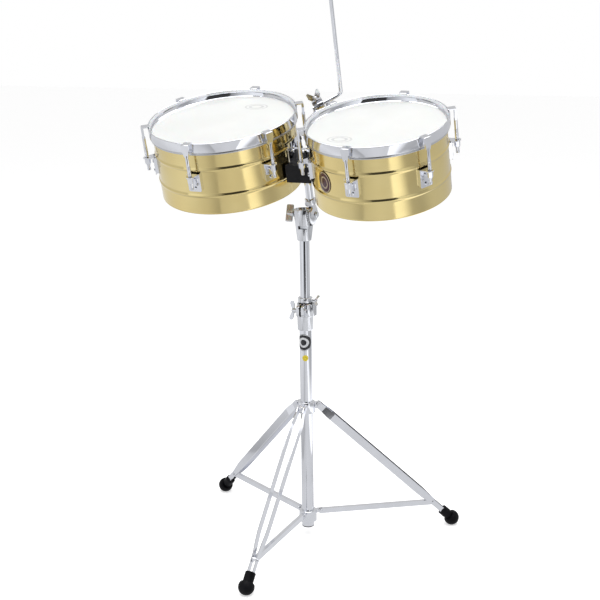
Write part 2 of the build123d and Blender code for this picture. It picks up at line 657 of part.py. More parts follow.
# along the tilt axis and out from it: a toothed flange, a groove and a faceted dome
disc_profile = [
    (TILTER_DISC_X, 0),
    (TILTER_DISC_X, TILTER_DISC_R),
    (TILTER_DISC_X + 2.5, TILTER_DISC_R),
    (TILTER_DISC_X + 2.5, TILTER_DISC_R - 3),
    (TILTER_DISC_X + 4, TILTER_DISC_R - 3),
    (TILTER_DISC_X + 4, TILTER_DISC_R),
    (TILTER_DISC_X + 7, TILTER_DISC_R),
    (disc_end - 2.5, TILTER_DISC_R - 6),
    (disc_end, TILTER_DISC_R - 13),
    (disc_end, 0),
]
arm_plane = Plane(origin=(0, 0, PIVOT_Z), x_dir=(0, -cos(tilt), -sin(tilt)), z_dir=(1, 0, 0))
with BuildPart() as tilter_arm:
    with BuildSketch(Plane(origin=(0, 0, PIVOT_Z), x_dir=(1, 0, 0), z_dir=(0, -1, 0))):
        with BuildLine():
            Polyline(*disc_profile, close=True)
        make_face()
    revolve(axis=Axis((0, 0, PIVOT_Z), (1, 0, 0)))
    with BuildSketch(arm_plane.offset(TILTER_DISC_X)):
        with Locations((0, -TILTER_DISC_R - 2)):
            Rectangle(16, 18)
    extrude(amount=TILTER_DISC_THICKNESS - 3)
    with BuildSketch(tilt_plane.offset(TILTER_ROD_BOTTOM)):
        Circle(ROD_BARREL_R)
    extrude(amount=ROD_BARREL_TOP - TILTER_ROD_BOTTOM)
    with BuildSketch(tilt_plane.offset(TILTER_ROD_BOTTOM)):
        Circle(TILTER_ROD_R + TOUCH)
    extrude(amount=ROD_BARREL_TOP, mode=Mode.SUBTRACT)
    with BuildSketch(arm_plane):
        Circle(TILTER_BOLT_R + RUN)
    extrude(amount=2 * disc_end, mode=Mode.SUBTRACT)
    with BuildSketch(Plane(origin=rod_screw_at, x_dir=(1, 0, 0), z_dir=-away)):
        Circle(WING_BOLT_R + TOUCH)
    extrude(amount=2 * ROD_BARREL_R, mode=Mode.SUBTRACT)
    with BuildSketch(arm_plane.offset(TILTER_DISC_X)):
        with PolarLocations(TILTER_DISC_R - 4, RATCHET_TEETH):
            Rectangle(9, 2)
    extrude(amount=1.2, mode=Mode.SUBTRACT)
finish(tilter_arm.part, "tilter_arm")

with BuildPart() as tilter_rod:
    with BuildSketch(tilt_plane.offset(TILTER_ROD_BOTTOM + TIP_GAP)):
        Circle(TILTER_ROD_R)
    extrude(amount=TILTER_ROD_TOP - TILTER_ROD_BOTTOM - TIP_GAP)
    chamfer(tilter_rod.edges().filter_by(GeomType.CIRCLE), 1)
finish(tilter_rod.part, "tilter_rod")

# knurled thumbscrew that faces the player and pinches the rod in the arm's barrel
rod_screw_seat = ROD_BARREL_R + 0.5
with BuildPart(
    Plane(origin=rod_screw_at - away * rod_screw_seat, x_dir=(1, 0, 0), z_dir=-away)
) as rod_clamp_screw:
    Cylinder(ROD_SCREW_HEAD_R, 6, align=(Align.CENTER, Align.CENTER, Align.MIN))
    with PolarLocations(ROD_SCREW_HEAD_R, ROD_SCREW_KNURLS):
        Cylinder(0.5, 6, align=(Align.CENTER, Align.CENTER, Align.MIN), mode=Mode.SUBTRACT)
    with Locations((0, 0, 6)):
        Cylinder(4, 1, align=(Align.CENTER, Align.CENTER, Align.MAX), mode=Mode.SUBTRACT)
    Cylinder(
        WING_BOLT_R, rod_screw_seat - TILTER_ROD_R - TIP_GAP, align=(Align.CENTER, Align.CENTER, Align.MAX)
    )
finish(rod_clamp_screw.part, "rod_clamp_screw")


# ---------------------------------------------------------------- drums, drawn on their own tilted planes
with BuildPart() as lug_screw_shape:
    with Locations((LUG_STANDOFF + TOUCH, 0, 0)):
        Cylinder(4.5, 3, rotation=(0, 90, 0), align=(Align.CENTER, Align.CENTER, Align.MIN))
    chamfer(lug_screw_shape.edges().group_by(Axis.X)[-1], 1)
    with Locations((LUG_STANDOFF + TOUCH, 0, 0)):
        Cylinder(LUG_SCREW_R, 15, rotation=(0, 90, 0), align=(Align.CENTER, Align.CENTER, Align.MAX))

# lug: a bent sheet bracket on the shell, x outwards from the shell and z down from the rim plane
with BuildPart() as lug_shape:
    with BuildSketch(Plane.YZ.offset(LUG_STANDOFF - LUG_SHEET)) as lug_plate:
        with Locations((0, -LUG_TOP - LUG_HEIGHT / 2)):
            Rectangle(LUG_WIDTH, LUG_HEIGHT)
        fillet(lug_plate.vertices().group_by(Axis.Y)[0], 4)
    extrude(amount=LUG_SHEET)
    for side in (1, -1):
        with BuildSketch(Plane.XZ.offset(-side * LUG_WIDTH / 2)):
            with Locations((LUG_STANDOFF / 2 - 1.5, -LUG_TOP - LUG_HEIGHT / 2 + 2)):
                Rectangle(LUG_STANDOFF + 3, LUG_HEIGHT - 4)
        extrude(amount=side * LUG_SHEET)
    with BuildSketch(Plane.XY.offset(-LUG_TOP - LUG_SHEET - 0.5)) as lug_flange:
        with Locations((ROD_OUT, 0)):
            Circle(10)
        with BuildLine():
            Polyline(
                (LUG_STANDOFF - LUG_SHEET, LUG_WIDTH / 2),
                (LUG_STANDOFF + 3, LUG_WIDTH / 2 - 3),
                (ROD_OUT, 10),
                (ROD_OUT, -10),
                (LUG_STANDOFF + 3, -LUG_WIDTH / 2 + 3),
                (LUG_STANDOFF - LUG_SHEET, -LUG_WIDTH / 2),
                close=True,
            )
        make_face()
    extrude(amount=LUG_SHEET + 0.5)
    with BuildSketch(Plane.XY.offset(-LUG_TOP - 10)):
        with Locations((ROD_OUT, 0)):
            Circle(HOOK_ROD_R + 0.9)
    extrude(amount=20, mode=Mode.SUBTRACT)
    for drop in LUG_SCREW_DROPS:
        with BuildSketch(Plane.YZ):
            with Locations((0, -drop)):
                Circle(LUG_SCREW_R + TOUCH)
        extrude(amount=20, mode=Mode.SUBTRACT)

# tension hook: flat claw over the rim, its leg tapering into the threaded rod
with BuildPart() as hook_shape:
    with BuildSketch(Plane.XZ) as claw:
        with BuildLine():
            Polyline(
                (3.7, 2.6),
                (3.7, -3.5),
                (5.3, -3.5),
                (5.3, TOUCH),
                (ROD_OUT - 2.6, TOUCH),
                (ROD_OUT - 2.6, -28),
                (ROD_OUT + 2.6, -28),
                (ROD_OUT + 2.6, 2.6),
                close=True,
            )
        make_face()
        fillet(claw.vertices().group_by(Axis.Y)[-1], 2)
    extrude(amount=10, both=True)
    with BuildSketch(Plane.YZ) as claw_front:
        with BuildLine():
            Polyline((-10, 4), (-10, -8), (-5, -29), (5, -29), (10, -8), (10, 4), close=True)
        make_face()
    extrude(amount=40, mode=Mode.INTERSECT)
    with BuildSketch(Plane.XY.offset(-24)):
        with Locations((ROD_OUT, 0)):
            Circle(HOOK_ROD_R)
    extrude(amount=24 - HOOK_ROD_END)

with BuildPart() as nut_shape:
    with BuildSketch(Plane.XY.offset(-LUG_TOP - LUG_SHEET - 0.5 - TOUCH)):
        with Locations((ROD_OUT, 0)):
            RegularPolygon(NUT_ACROSS_FLATS / 2, 6, major_radius=False)
    extrude(amount=-14)
    with BuildSketch(Plane.XY.offset(-LUG_TOP - LUG_SHEET - 14.5 - TOUCH)):
        with Locations((ROD_OUT, 0)):
            Circle(NUT_ACROSS_FLATS / 2 - 0.4)
    extrude(amount=-4, taper=12)
    with BuildSketch(Plane.XY.offset(-LUG_TOP)):
        with Locations((ROD_OUT, 0)):
            Circle(HOOK_ROD_R + RUN)
    extrude(amount=-40, mode=Mode.SUBTRACT)


def build_drum(side, centre_x, shell_r, lug_start, bolt_azimuth):
    """Makes the pieces of one drum. Heights are measured down from the top of its rim."""
    top = Plane(origin=gap_centre + Vector(centre_x, 0, 0), x_dir=(1, 0, 0), z_dir=drum_axis)
    section = Plane(origin=top.origin, x_dir=(1, 0, 0), z_dir=-away)
    spin = Axis(top.origin, drum_axis)
    shell_bottom = BEARING_DROP + SHELL_DEPTH

    with BuildPart(top) as shell:
        with BuildSketch(section):
            with Locations((shell_r - SHELL_WALL / 2, -(BEARING_DROP + SHELL_DEPTH / 2))):
                Rectangle(SHELL_WALL, SHELL_DEPTH)
            with Locations(*[(shell_r - BEAD_CENTRE_IN, -drop) for drop in BEAD_DROPS]):
                Circle(BEAD_R)
                Circle(BEAD_R - SHELL_WALL, mode=Mode.SUBTRACT)
            with Locations((shell_r - SHELL_WALL - 10, -shell_bottom / 2)):
                Rectangle(20, 2 * shell_bottom, mode=Mode.SUBTRACT)
            with Locations((shell_r - 2, -BEARING_DROP - 2), (shell_r - 2.5, -shell_bottom + 2.5)):
                Circle(2)
        revolve(axis=spin)
        with PolarLocations(shell_r, LUGS, start_angle=lug_start):
            with Locations(*[(0, 0, -drop) for drop in LUG_SCREW_DROPS]):
                Cylinder(LUG_SCREW_R + TOUCH, 16, rotation=(0, 90, 0), mode=Mode.SUBTRACT)
        with PolarLocations(shell_r, 1, start_angle=bolt_azimuth):
            for drop in BRACKET_BOLT_DROPS:
                with Locations((0, BRACKET_BOLT_V, -drop), (0, -BRACKET_BOLT_V, -drop)):
                    Cylinder(BRACKET_BOLT_R + TOUCH, 24, rotation=(0, 90, 0), mode=Mode.SUBTRACT)
    finish(shell.part, f"{side}_shell")

    with BuildPart() as head:
        with BuildSketch(section):
            with Locations(((shell_r + 1.3) / 2, -BEARING_DROP + TOUCH + HEAD_FILM / 2)):
                Rectangle(shell_r + 1.3, HEAD_FILM)
            with Locations((shell_r + 0.9, -BEARING_DROP - 6)):
                Rectangle(0.8, 13)
        revolve(axis=spin)
    finish(head.part, f"{side}_head")

    with BuildPart() as flesh_hoop:
        with BuildSketch(section) as hoop_section:
            with Locations((shell_r + 3.45, -25.3)):
                Rectangle(4.1, 11.4)
            fillet(hoop_section.vertices(), 1)
        revolve(axis=spin)
    finish(flesh_hoop.part, f"{side}_flesh_hoop")

    with BuildPart() as rim:
        with BuildSketch(section) as rim_section:
            with Locations((shell_r + RIM_OUT - RIM_BAND / 2, -RIM_HEIGHT / 2)):
                Rectangle(RIM_BAND, RIM_HEIGHT)
            fillet(rim_section.vertices().group_by(Axis.Y)[-1], 1)
            with Locations((shell_r + 3.8, -BEARING_DROP - 1.3)):
                Rectangle(4.4, 2.2)
        revolve(axis=spin)
    finish(rim.part, f"{side}_rim")

    with BuildPart(top) as lugs:
        with PolarLocations(shell_r, LUGS, start_angle=lug_start):
            add(lug_shape.part)
        with Locations((0, 0, -shell_bottom)):
            Cylinder(
                shell_r + TOUCH,
                shell_bottom,
                align=(Align.CENTER, Align.CENTER, Align.MIN),
                mode=Mode.SUBTRACT,
            )
    finish(lugs.part, f"{side}_lugs")

    with BuildPart(top) as lug_screws:
        with PolarLocations(shell_r, LUGS, start_angle=lug_start):
            with Locations(*[(0, 0, -drop) for drop in LUG_SCREW_DROPS]):
                add(lug_screw_shape.part)
    finish(lug_screws.part, f"{side}_lug_screws")

    with BuildPart(top) as hooks:
        with PolarLocations(shell_r, LUGS, start_angle=lug_start):
            add(hook_shape.part)
    finish(hooks.part, f"{side}_tension_hooks")

    with BuildPart(top) as nuts:
        with PolarLocations(shell_r, LUGS, start_angle=lug_start):
            add(nut_shape.part)
    finish(nuts.part, f"{side}_tension_nuts")
    return top


left_top = build_drum("left", left_x, LEFT_SHELL_R, LEFT_LUG_START, 0)
right_top = build_drum("right", right_x, RIGHT_SHELL_R, RIGHT_LUG_START, 180)

badge_out = right_top.x_dir.rotate(Axis((0, 0, 0), drum_axis), DRUM_BADGE_AZIMUTH)
badge_plane = Plane(origin=right_top.origin, x_dir=drum_axis.cross(badge_out), z_dir=badge_out)
with BuildPart(right_top) as badge_field:
    with BuildSketch(badge_plane):
        with Locations((0, -DRUM_BADGE_DROP)):
            Ellipse(DRUM_BADGE_WIDTH / 2 - DRUM_BADGE_BORDER, DRUM_BADGE_HEIGHT / 2 - DRUM_BADGE_BORDER)
    extrude(amount=RIGHT_SHELL_R + 20)
    with Locations((0, 0, -DRUM_BADGE_DROP)):
        Cylinder(RIGHT_SHELL_R + DRUM_BADGE_THICKNESS / 2, 100, mode=Mode.SUBTRACT)

with BuildPart(right_top) as drum_badge:
    with BuildSketch(badge_plane):
        with Locations((0, -DRUM_BADGE_DROP)):
            Ellipse(DRUM_BADGE_WIDTH / 2, DRUM_BADGE_HEIGHT / 2)
    extrude(amount=RIGHT_SHELL_R + 20)
    with Locations((0, 0, -DRUM_BADGE_DROP)):
        Cylinder(RIGHT_SHELL_R + DRUM_BADGE_THICKNESS, 100, mode=Mode.INTERSECT)
        Cylinder(RIGHT_SHELL_R + TOUCH, 100, mode=Mode.SUBTRACT)
    add(badge_field.part, mode=Mode.SUBTRACT)
finish(drum_badge.part, "drum_badge")

# ---------------------------------------------------------------- bracket between the drums
left_plate_r = LEFT_SHELL_R + PLATE_STANDOFF
right_plate_r = RIGHT_SHELL_R + PLATE_STANDOFF

with BuildPart(gap_plane) as bracket_plates:
    with BuildSketch(gap_plane.offset(-PLATE_BOTTOM)):
        for centre, radius in ((left_x, left_plate_r), (right_x, right_plate_r)):
            with Locations((centre, 0)):
                Circle(radius + PLATE_THICKNESS)
        for centre, radius in ((left_x, left_plate_r), (right_x, right_plate_r)):
            with Locations((centre, 0)):
                Circle(radius, mode=Mode.SUBTRACT)
        Rectangle(SHELL_GAP + 10, PLATE_WIDTH, mode=Mode.INTERSECT)
    extrude(amount=PLATE_BOTTOM - PLATE_TOP)
    bolt_places = [(0, v, -drop) for v in (-BRACKET_BOLT_V, BRACKET_BOLT_V) for drop in BRACKET_BOLT_DROPS]
    with Locations(*bolt_places):
        Cylinder(BRACKET_BOLT_R + TOUCH, 2 * SHELL_GAP, rotation=(0, 90, 0), mode=Mode.SUBTRACT)
finish(bracket_plates.part, "bracket_plates")

left_block_r = left_plate_r + PLATE_THICKNESS + TOUCH
right_block_r = right_plate_r + PLATE_THICKNESS + TOUCH
with BuildPart(gap_plane) as mount_bracket:
    with BuildSketch(gap_plane.offset(-BRACKET_BOTTOM)):
        Rectangle(2 * SHELL_GAP, BRACKET_DEPTH)
        with Locations((left_x, 0)):
            Circle(left_block_r, mode=Mode.SUBTRACT)
        with Locations((right_x, 0)):
            Circle(right_block_r, mode=Mode.SUBTRACT)
    extrude(amount=BRACKET_BOTTOM - BRACKET_TOP)
    with BuildSketch(gap_plane.offset(-BRACKET_BOTTOM)):
        Rectangle(2 * SHELL_GAP, BRACKET_DEPTH - 2 * BRACKET_WALL)
        with Locations((left_x, 0)):
            Circle(left_block_r + BRACKET_WALL, mode=Mode.SUBTRACT)
        with Locations((right_x, 0)):
            Circle(right_block_r + BRACKET_WALL, mode=Mode.SUBTRACT)
    extrude(amount=BRACKET_BOTTOM - BRACKET_TOP - BRACKET_WALL, mode=Mode.SUBTRACT)
    with BuildSketch(gap_plane.offset(-BRACKET_BOTTOM - 4)):
        Circle(TILTER_ROD_R + 5)
    extrude(amount=BRACKET_BOTTOM + 4 - ROD_SLEEVE_TOP)
    with BuildSketch(gap_plane.offset(-BRACKET_BOTTOM - 4)):
        Circle(TILTER_ROD_R + RUN)
    extrude(amount=BRACKET_BOTTOM, mode=Mode.SUBTRACT)
    with Locations(*[(0, v, -BRACKET_BOLT_DROPS[1]) for v in (-BRACKET_BOLT_V, BRACKET_BOLT_V)]):
        Cylinder(BRACKET_BOLT_R + TOUCH, 2 * SHELL_GAP, rotation=(0, 90, 0), mode=Mode.SUBTRACT)
    with Locations((0, BRACKET_DEPTH / 2, -BRACKET_WING_DROP)):
        Cylinder(WING_BOLT_R + 4, 12, rotation=(90, 0, 0), align=(Align.CENTER, Align.CENTER, Align.MAX))
    with Locations((0, 0, -BRACKET_WING_DROP)):
        Cylinder(
            WING_BOLT_R + RUN,
            BRACKET_DEPTH,
            rotation=(-90, 0, 0),
            align=(Align.CENTER, Align.CENTER, Align.MIN),
            mode=Mode.SUBTRACT,
        )
finish(mount_bracket.part, "mount_bracket")

# bolts from the shells into the gap: heads inside each shell, nuts over the plates or inside the bracket
def bracket_bolt(nut_face):
    """Bolt along X; x = 0 is the shell's outer face where the gap is narrowest."""
    with BuildPart() as bolt:
        with BuildSketch(Plane.YZ.offset(nut_face)):
            RegularPolygon(5, 6, major_radius=False)
        extrude(amount=5)
        with BuildSketch(Plane.YZ.offset(-BRACKET_BOLT_HEAD)):
            Circle(BRACKET_BOLT_R)
        extrude(amount=BRACKET_BOLT_HEAD + nut_face + 8)
        with BuildSketch(Plane.YZ.offset(-BRACKET_BOLT_HEAD)):
            Circle(5.5)
        extrude(amount=-3)
    return bolt.part


plate_face = PLATE_STANDOFF + PLATE_THICKNESS + TOUCH
with BuildPart(gap_plane) as bracket_bolts:
    for drop, nut_face in zip(BRACKET_BOLT_DROPS, (plate_face, plate_face + BRACKET_WALL + TOUCH)):
        bolt = bracket_bolt(nut_face)
        for v in (-BRACKET_BOLT_V, BRACKET_BOLT_V):
            from_left = Location((-SHELL_GAP / 2, v, -drop))
            from_right = Location((SHELL_GAP / 2, v, -drop), (0, 0, 180))
            with Locations(from_left, from_right):
                add(bolt)
finish(bracket_bolts.part, "bracket_bolts")

bracket_boss = BRACKET_DEPTH / 2 + 12
with BuildPart(
    Plane(origin=across((ROD_X, bracket_boss + 0.1, -BRACKET_WING_DROP)), x_dir=(1, 0, 0), z_dir=away)
) as bracket_wing_bolt:
    add(wing_screw(WING_BOLT_R, bracket_boss - TILTER_ROD_R - 0.2, 6, 8, 17, 20))
finish(bracket_wing_bolt.part, "bracket_wing_bolt")

# ---------------------------------------------------------------- cowbell holder
holder_centre = across(HOLDER_CENTRE)
holder_bend = across(HOLDER_BEND)
holder_dir = (holder_bend - holder_centre).normalized()
holder_up = (drum_axis - holder_dir * drum_axis.dot(holder_dir)).normalized()
holder_plane = Plane(origin=holder_centre, x_dir=holder_up, z_dir=holder_dir)

arm_top = HOLDER_CENTRE[2] - HOLDER_BARREL_R - 5
holder_foot = across((HOLDER_CENTRE[0], HOLDER_CENTRE[1], arm_top + TOUCH))
with BuildPart() as holder_arm:
    with BuildSketch(Plane(origin=gap_centre, x_dir=away, z_dir=(1, 0, 0))) as arm_side:
        with BuildLine():
            Polyline(
                (HOLDER_ARM_V - 26, -BRACKET_TOP + TOUCH),
                (HOLDER_ARM_V + HOLDER_ARM_SHEET, -BRACKET_TOP + TOUCH),
                (HOLDER_ARM_V + HOLDER_ARM_SHEET, arm_top - HOLDER_ARM_SHEET),
                (HOLDER_CENTRE[1] + 12, arm_top - HOLDER_ARM_SHEET),
                (HOLDER_CENTRE[1] + 12, arm_top),
                (HOLDER_ARM_V, arm_top),
                (HOLDER_ARM_V, -BRACKET_TOP + HOLDER_ARM_SHEET),
                (HOLDER_ARM_V - 26, -BRACKET_TOP + HOLDER_ARM_SHEET),
                close=True,
            )
        make_face()
        fillet(arm_side.vertices(), 1.5)
    extrude(amount=HOLDER_ARM_WIDTH / 2, both=True)
finish(holder_arm.part, "holder_arm")

with BuildPart() as holder_clamp:
    with BuildSketch(holder_plane.offset(-13)):
        Circle(HOLDER_BARREL_R)
        with Locations((HOLDER_BARREL_R - 2, 0)):
            Rectangle(12, 15)
    extrude(amount=26)
    chamfer(holder_clamp.edges().filter_by(GeomType.CIRCLE), 1)
    with BuildSketch(Plane(origin=holder_foot, x_dir=(1, 0, 0), z_dir=drum_axis)):
        with Locations((-3, 0)):
            Rectangle(18, 22)
    extrude(amount=8)
    with BuildSketch(holder_plane.offset(-20)):
        Circle(COWBELL_ROD_R + RUN)
    extrude(amount=40, mode=Mode.SUBTRACT)
    with BuildSketch(Plane(origin=holder_centre, x_dir=holder_dir, z_dir=holder_up)):
        Circle(WING_BOLT_R + RUN)
    extrude(amount=30, mode=Mode.SUBTRACT)
finish(holder_clamp.part, "holder_clamp")

holder_bolt_seat = HOLDER_BARREL_R + 5
with BuildPart(
    Plane(origin=holder_centre + holder_up * holder_bolt_seat, x_dir=holder_dir, z_dir=holder_up)
) as holder_wing_bolt:
    add(wing_screw(WING_BOLT_R, holder_bolt_seat - COWBELL_ROD_R - 0.2, 6, 10, 16.5, 24))
finish(holder_wing_bolt.part, "holder_wing_bolt")

with BuildPart() as cowbell_rod:
    with BuildLine() as rod_path:
        FilletPolyline(
            holder_centre - holder_dir * 18,
            holder_bend,
            holder_bend + drum_axis * (COWBELL_ROD_TOP - HOLDER_BEND[2]),
            radius=14,
        )
    with BuildSketch(Plane(origin=rod_path.line @ 0, z_dir=rod_path.line % 0)):
        Circle(COWBELL_ROD_R)
    sweep()
finish(cowbell_rod.part, "cowbell_rod")

# ---------------------------------------------------------------- round labels on the upright tube
def tube_label(azimuth, height, radius):
    """Thin round label wrapped on the lower tube, drawn by its outline seen from the front."""
    steps = [radians(15 * k) for k in range(24)]
    outline = [(LOWER_TUBE_R * sin(radius * cos(t) / LOWER_TUBE_R), radius * sin(t)) for t in steps]
    facing = Plane(origin=(0, 0, height), x_dir=turned(azimuth).y_dir, z_dir=turned(azimuth).x_dir)
    with BuildPart() as label:
        with BuildSketch(facing):
            with BuildLine():
                Spline(*outline, periodic=True)
            make_face()
        extrude(amount=2 * LOWER_TUBE_R)
        with Locations((0, 0, height)):
            Cylinder(LOWER_TUBE_R + LABEL_THICKNESS, 4 * radius, mode=Mode.INTERSECT)
            Cylinder(LOWER_TUBE_R + TOUCH, 4 * radius, mode=Mode.SUBTRACT)
    return label.part


finish(tube_label(-90, STAND_BADGE_Z, STAND_BADGE_R), "stand_badge")
finish(tube_label(-74, INSPECTION_DOT_Z, INSPECTION_DOT_R), "inspection_dot")
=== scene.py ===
"""Looks for the timbales: finer drum, rod and nut meshes in the CAD frame, materials, studio and camera."""

import json
from math import atan2, cos, exp, pi, radians, sin

import bmesh
import bpy
from mathutils import Matrix, Vector


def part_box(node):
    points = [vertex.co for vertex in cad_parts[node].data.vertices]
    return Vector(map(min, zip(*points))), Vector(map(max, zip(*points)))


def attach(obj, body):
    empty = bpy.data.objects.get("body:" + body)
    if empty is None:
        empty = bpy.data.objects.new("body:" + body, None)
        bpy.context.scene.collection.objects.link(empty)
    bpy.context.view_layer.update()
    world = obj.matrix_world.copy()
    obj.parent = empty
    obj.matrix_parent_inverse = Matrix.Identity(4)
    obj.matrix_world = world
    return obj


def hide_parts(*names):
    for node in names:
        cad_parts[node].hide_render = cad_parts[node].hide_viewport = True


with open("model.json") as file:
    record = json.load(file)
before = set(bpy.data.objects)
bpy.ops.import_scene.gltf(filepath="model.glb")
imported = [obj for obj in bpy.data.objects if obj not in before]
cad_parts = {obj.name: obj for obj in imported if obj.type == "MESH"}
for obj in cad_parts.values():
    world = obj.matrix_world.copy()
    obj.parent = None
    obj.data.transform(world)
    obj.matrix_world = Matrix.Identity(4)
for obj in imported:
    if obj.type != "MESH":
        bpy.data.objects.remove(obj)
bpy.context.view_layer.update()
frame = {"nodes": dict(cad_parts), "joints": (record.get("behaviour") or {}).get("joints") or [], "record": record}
MM = 0.001
joints = {joint["name"]: joint for joint in frame["joints"]}

# ---------------------------------------------------------------- directions and places of the frame
drum_axis = Vector(joints["drum_height"]["axis"]).normalized()
across = Vector((1, 0, 0))
away = drum_axis.cross(across)
post = Vector(joints["post_swivel"]["pos_m"])
post.z = 0


def middle(node):
    """The centre of a CAD node's box."""
    low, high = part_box(node)
    return (Vector(low) + Vector(high)) / 2


def width(node, side=0):
    """A CAD node's size along one axis of the frame."""
    low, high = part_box(node)
    return high[side] - low[side]


# Drum sizes in mm, as in the CAD. Drops are measured down from the rim's top, outs from the shell's wall.
SIDES = ("left", "right")
RIM_HEIGHT = 24
RIM_OUT = 8
RIM_BAND = 2.2
BEARING_DROP = 17
SHELL_BOTTOM = 187
SHELL_WALL = 1.2
BEAD_DROPS = (70, 137.5)
BEAD_RISE = 2.2
BEAD_HALF = 3.4
RODS = 6
ROD_OUT = 22
ROD_R = 4.25
ROD_THREAD = (-77, -50)
ROD_END_THREAD = (-112, -105.2)  # stays below the nut when the rim lifts
THREAD_PITCH = 1.5
THREAD_RISE = 0.42
LUG_START = {"left": 28.5, "right": 26.5}  # degrees
drum_top = {side: middle(f"{side}_rim") + drum_axis * RIM_HEIGHT * MM / 2 for side in SIDES}
shell_radius = {side: width(f"{side}_shell") / 2 / MM - BEAD_RISE for side in SIDES}


# ---------------------------------------------------------------- mesh helpers
def drum_frame(side):
    """Matrix from a drum's own axes, in mm from the middle of its rim's top, to the frame."""
    turn = Matrix((across, away, drum_axis)).transposed().to_4x4()
    return Matrix.Translation(drum_top[side]) @ turn @ Matrix.Scale(MM, 4)


def make_piece(name, mesh_builder, placement, body, material, *replaced, slot=None):
    """Builds one mesh in its own axes, places it in the frame, gives it a material and a body."""
    bm = bmesh.new()
    mesh_builder(bm)
    bmesh.ops.remove_doubles(bm, verts=bm.verts, dist=1e-6)
    bmesh.ops.recalc_face_normals(bm, faces=bm.faces)
    bm.transform(placement)
    mesh = bpy.data.meshes.new(name)
    bm.to_mesh(mesh)
    bm.free()
    mesh.polygons.foreach_set("use_smooth", [True] * len(mesh.polygons))
    piece = bpy.data.objects.new(name, mesh)
    bpy.context.scene.collection.objects.link(piece)
    mesh.materials.append(material)
    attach(piece, body)
    if replaced:
        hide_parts(*replaced)
    return piece


def bevel_edges(piece, radius, angle):
    """Rounds the edges of a piece that are sharper than an angle in degrees."""
    bevel = piece.modifiers.new("edges", "BEVEL")
    bevel.width = radius
    bevel.segments = 2
    bevel.limit_method = "ANGLE"
    bevel.angle_limit = radians(angle)
    bevel.harden_normals = True


def soft_edges(piece, radius):
    """Joins a CAD mesh's triangles into flat faces, then rounds its sharp edges."""
    weld = piece.modifiers.new("joined", "WELD")
    weld.merge_threshold = 0.001 * MM
    flat = piece.modifiers.new("flat_faces", "DECIMATE")
    flat.decimate_type = "DISSOLVE"
    flat.angle_limit = radians(1)
    bevel_edges(piece, radius, 35)


LATHE_STEPS = 256


def lathe(profile):
    """Mesh builder: turns a closed outline of (radius, height) points about the local Z axis."""

    def build(bm):
        rings = []
        for k in range(LATHE_STEPS):
            angle = 2 * pi * k / LATHE_STEPS
            rings.append([bm.verts.new((r * cos(angle), r * sin(angle), z)) for r, z in profile])
        for k in range(LATHE_STEPS):
            here, there = rings[k], rings[(k + 1) % LATHE_STEPS]
            for a in range(len(profile)):
                b = (a + 1) % len(profile)
                bm.faces.new((here[a], there[a], there[b], here[b]))

    return build


def arc(centre, radius, start, end, steps=8):
    """Points of an arc in an outline, with angles in degrees."""
    turns = [radians(start + (end - start) * k / steps) for k in range(steps + 1)]
    return [(centre[0] + radius * cos(t), centre[1] + radius * sin(t)) for t in turns]


# ---------------------------------------------------------------- material helpers
class Shader:
    """A Principled material with short calls that add procedural nodes."""

    def __init__(self, name, **values):
        self.material = bpy.data.materials.new(name)
        self.material.use_nodes = True
        self.tree = self.material.node_tree
        self.surface = self.tree.nodes["Principled BSDF"]
        self.place = self.node("ShaderNodeTexCoord").outputs["Object"]
        self.set(**values)

    def node(self, kind, **settings):
        made = self.tree.nodes.new(kind)
        for key, value in settings.items():
            setattr(made, key, value)
        return made

    def plug(self, socket, value):
        if isinstance(value, bpy.types.NodeSocket):
            self.tree.links.new(value, socket)
        else:
            socket.default_value = value

    def set(self, **values):
        for key, value in values.items():
            self.plug(self.surface.inputs[key.replace("_", " ")], value)

    def math(self, operation, a, b=0.0):
        made = self.node("ShaderNodeMath", operation=operation)
        self.plug(made.inputs[0], a)
        self.plug(made.inputs[1], b)
        return made.outputs[0]

    def vector(self, operation, a, b):
        made = self.node("ShaderNodeVectorMath", operation=operation)
        self.plug(made.inputs[0], a)
        self.plug(made.inputs[1], b)
        return made.outputs["Value"] if operation == "DOT_PRODUCT" else made.outputs["Vector"]

    def noise(self, scale, detail=3.0, stretch=(1, 1, 1)):
        made = self.node("ShaderNodeTexNoise")
        self.plug(made.inputs["Vector"], self.vector("MULTIPLY", self.place, stretch))
        made.inputs["Scale"].default_value = scale
        made.inputs["Detail"].default_value = detail
        return made.outputs["Fac"]

    def fit(self, value, low, high, start=0.35, end=0.65, smooth=False):
        made = self.node("ShaderNodeMapRange", interpolation_type="SMOOTHSTEP" if smooth else "LINEAR")
        ends = {"Value": value, "From Min": start, "From Max": end, "To Min": low, "To Max": high}
        for key, number in ends.items():
            self.plug(made.inputs[key], number)
        return made.outputs["Result"]

    def mix(self, factor, a, b):
        made = self.node("ShaderNodeMix", data_type="RGBA")
        self.plug(made.inputs["Factor"], factor)
        for key, value in ((6, a), (7, b)):
            self.plug(made.inputs[key], (*value, 1) if isinstance(value, tuple) else value)
        return made.outputs[2]

    def bump(self, height, distance):
        made = self.node("ShaderNodeBump")
        self.plug(made.inputs["Height"], height)
        made.inputs["Distance"].default_value = distance
        made.inputs["Strength"].default_value = 1.0
        return made.outputs["Normal"]

    def ellipse(self, gap, u_way, v_way, size):
        """How far out a place is from the middle of an ellipse, where 1 is on its edge."""
        u = self.math("DIVIDE", self.vector("DOT_PRODUCT", gap, tuple(u_way)), size[0])
        v = self.math("DIVIDE", self.vector("DOT_PRODUCT", gap, tuple(v_way)), size[1])
        return self.math("SQRT", self.math("ADD", self.math("POWER", u, 2), self.math("POWER", v, 2)))

    def line(self, reach, middle_at, half):
        """1 on a ring of given half width, 0 off it."""
        return self.math("LESS_THAN", self.math("ABSOLUTE", self.math("SUBTRACT", reach, middle_at)), half)


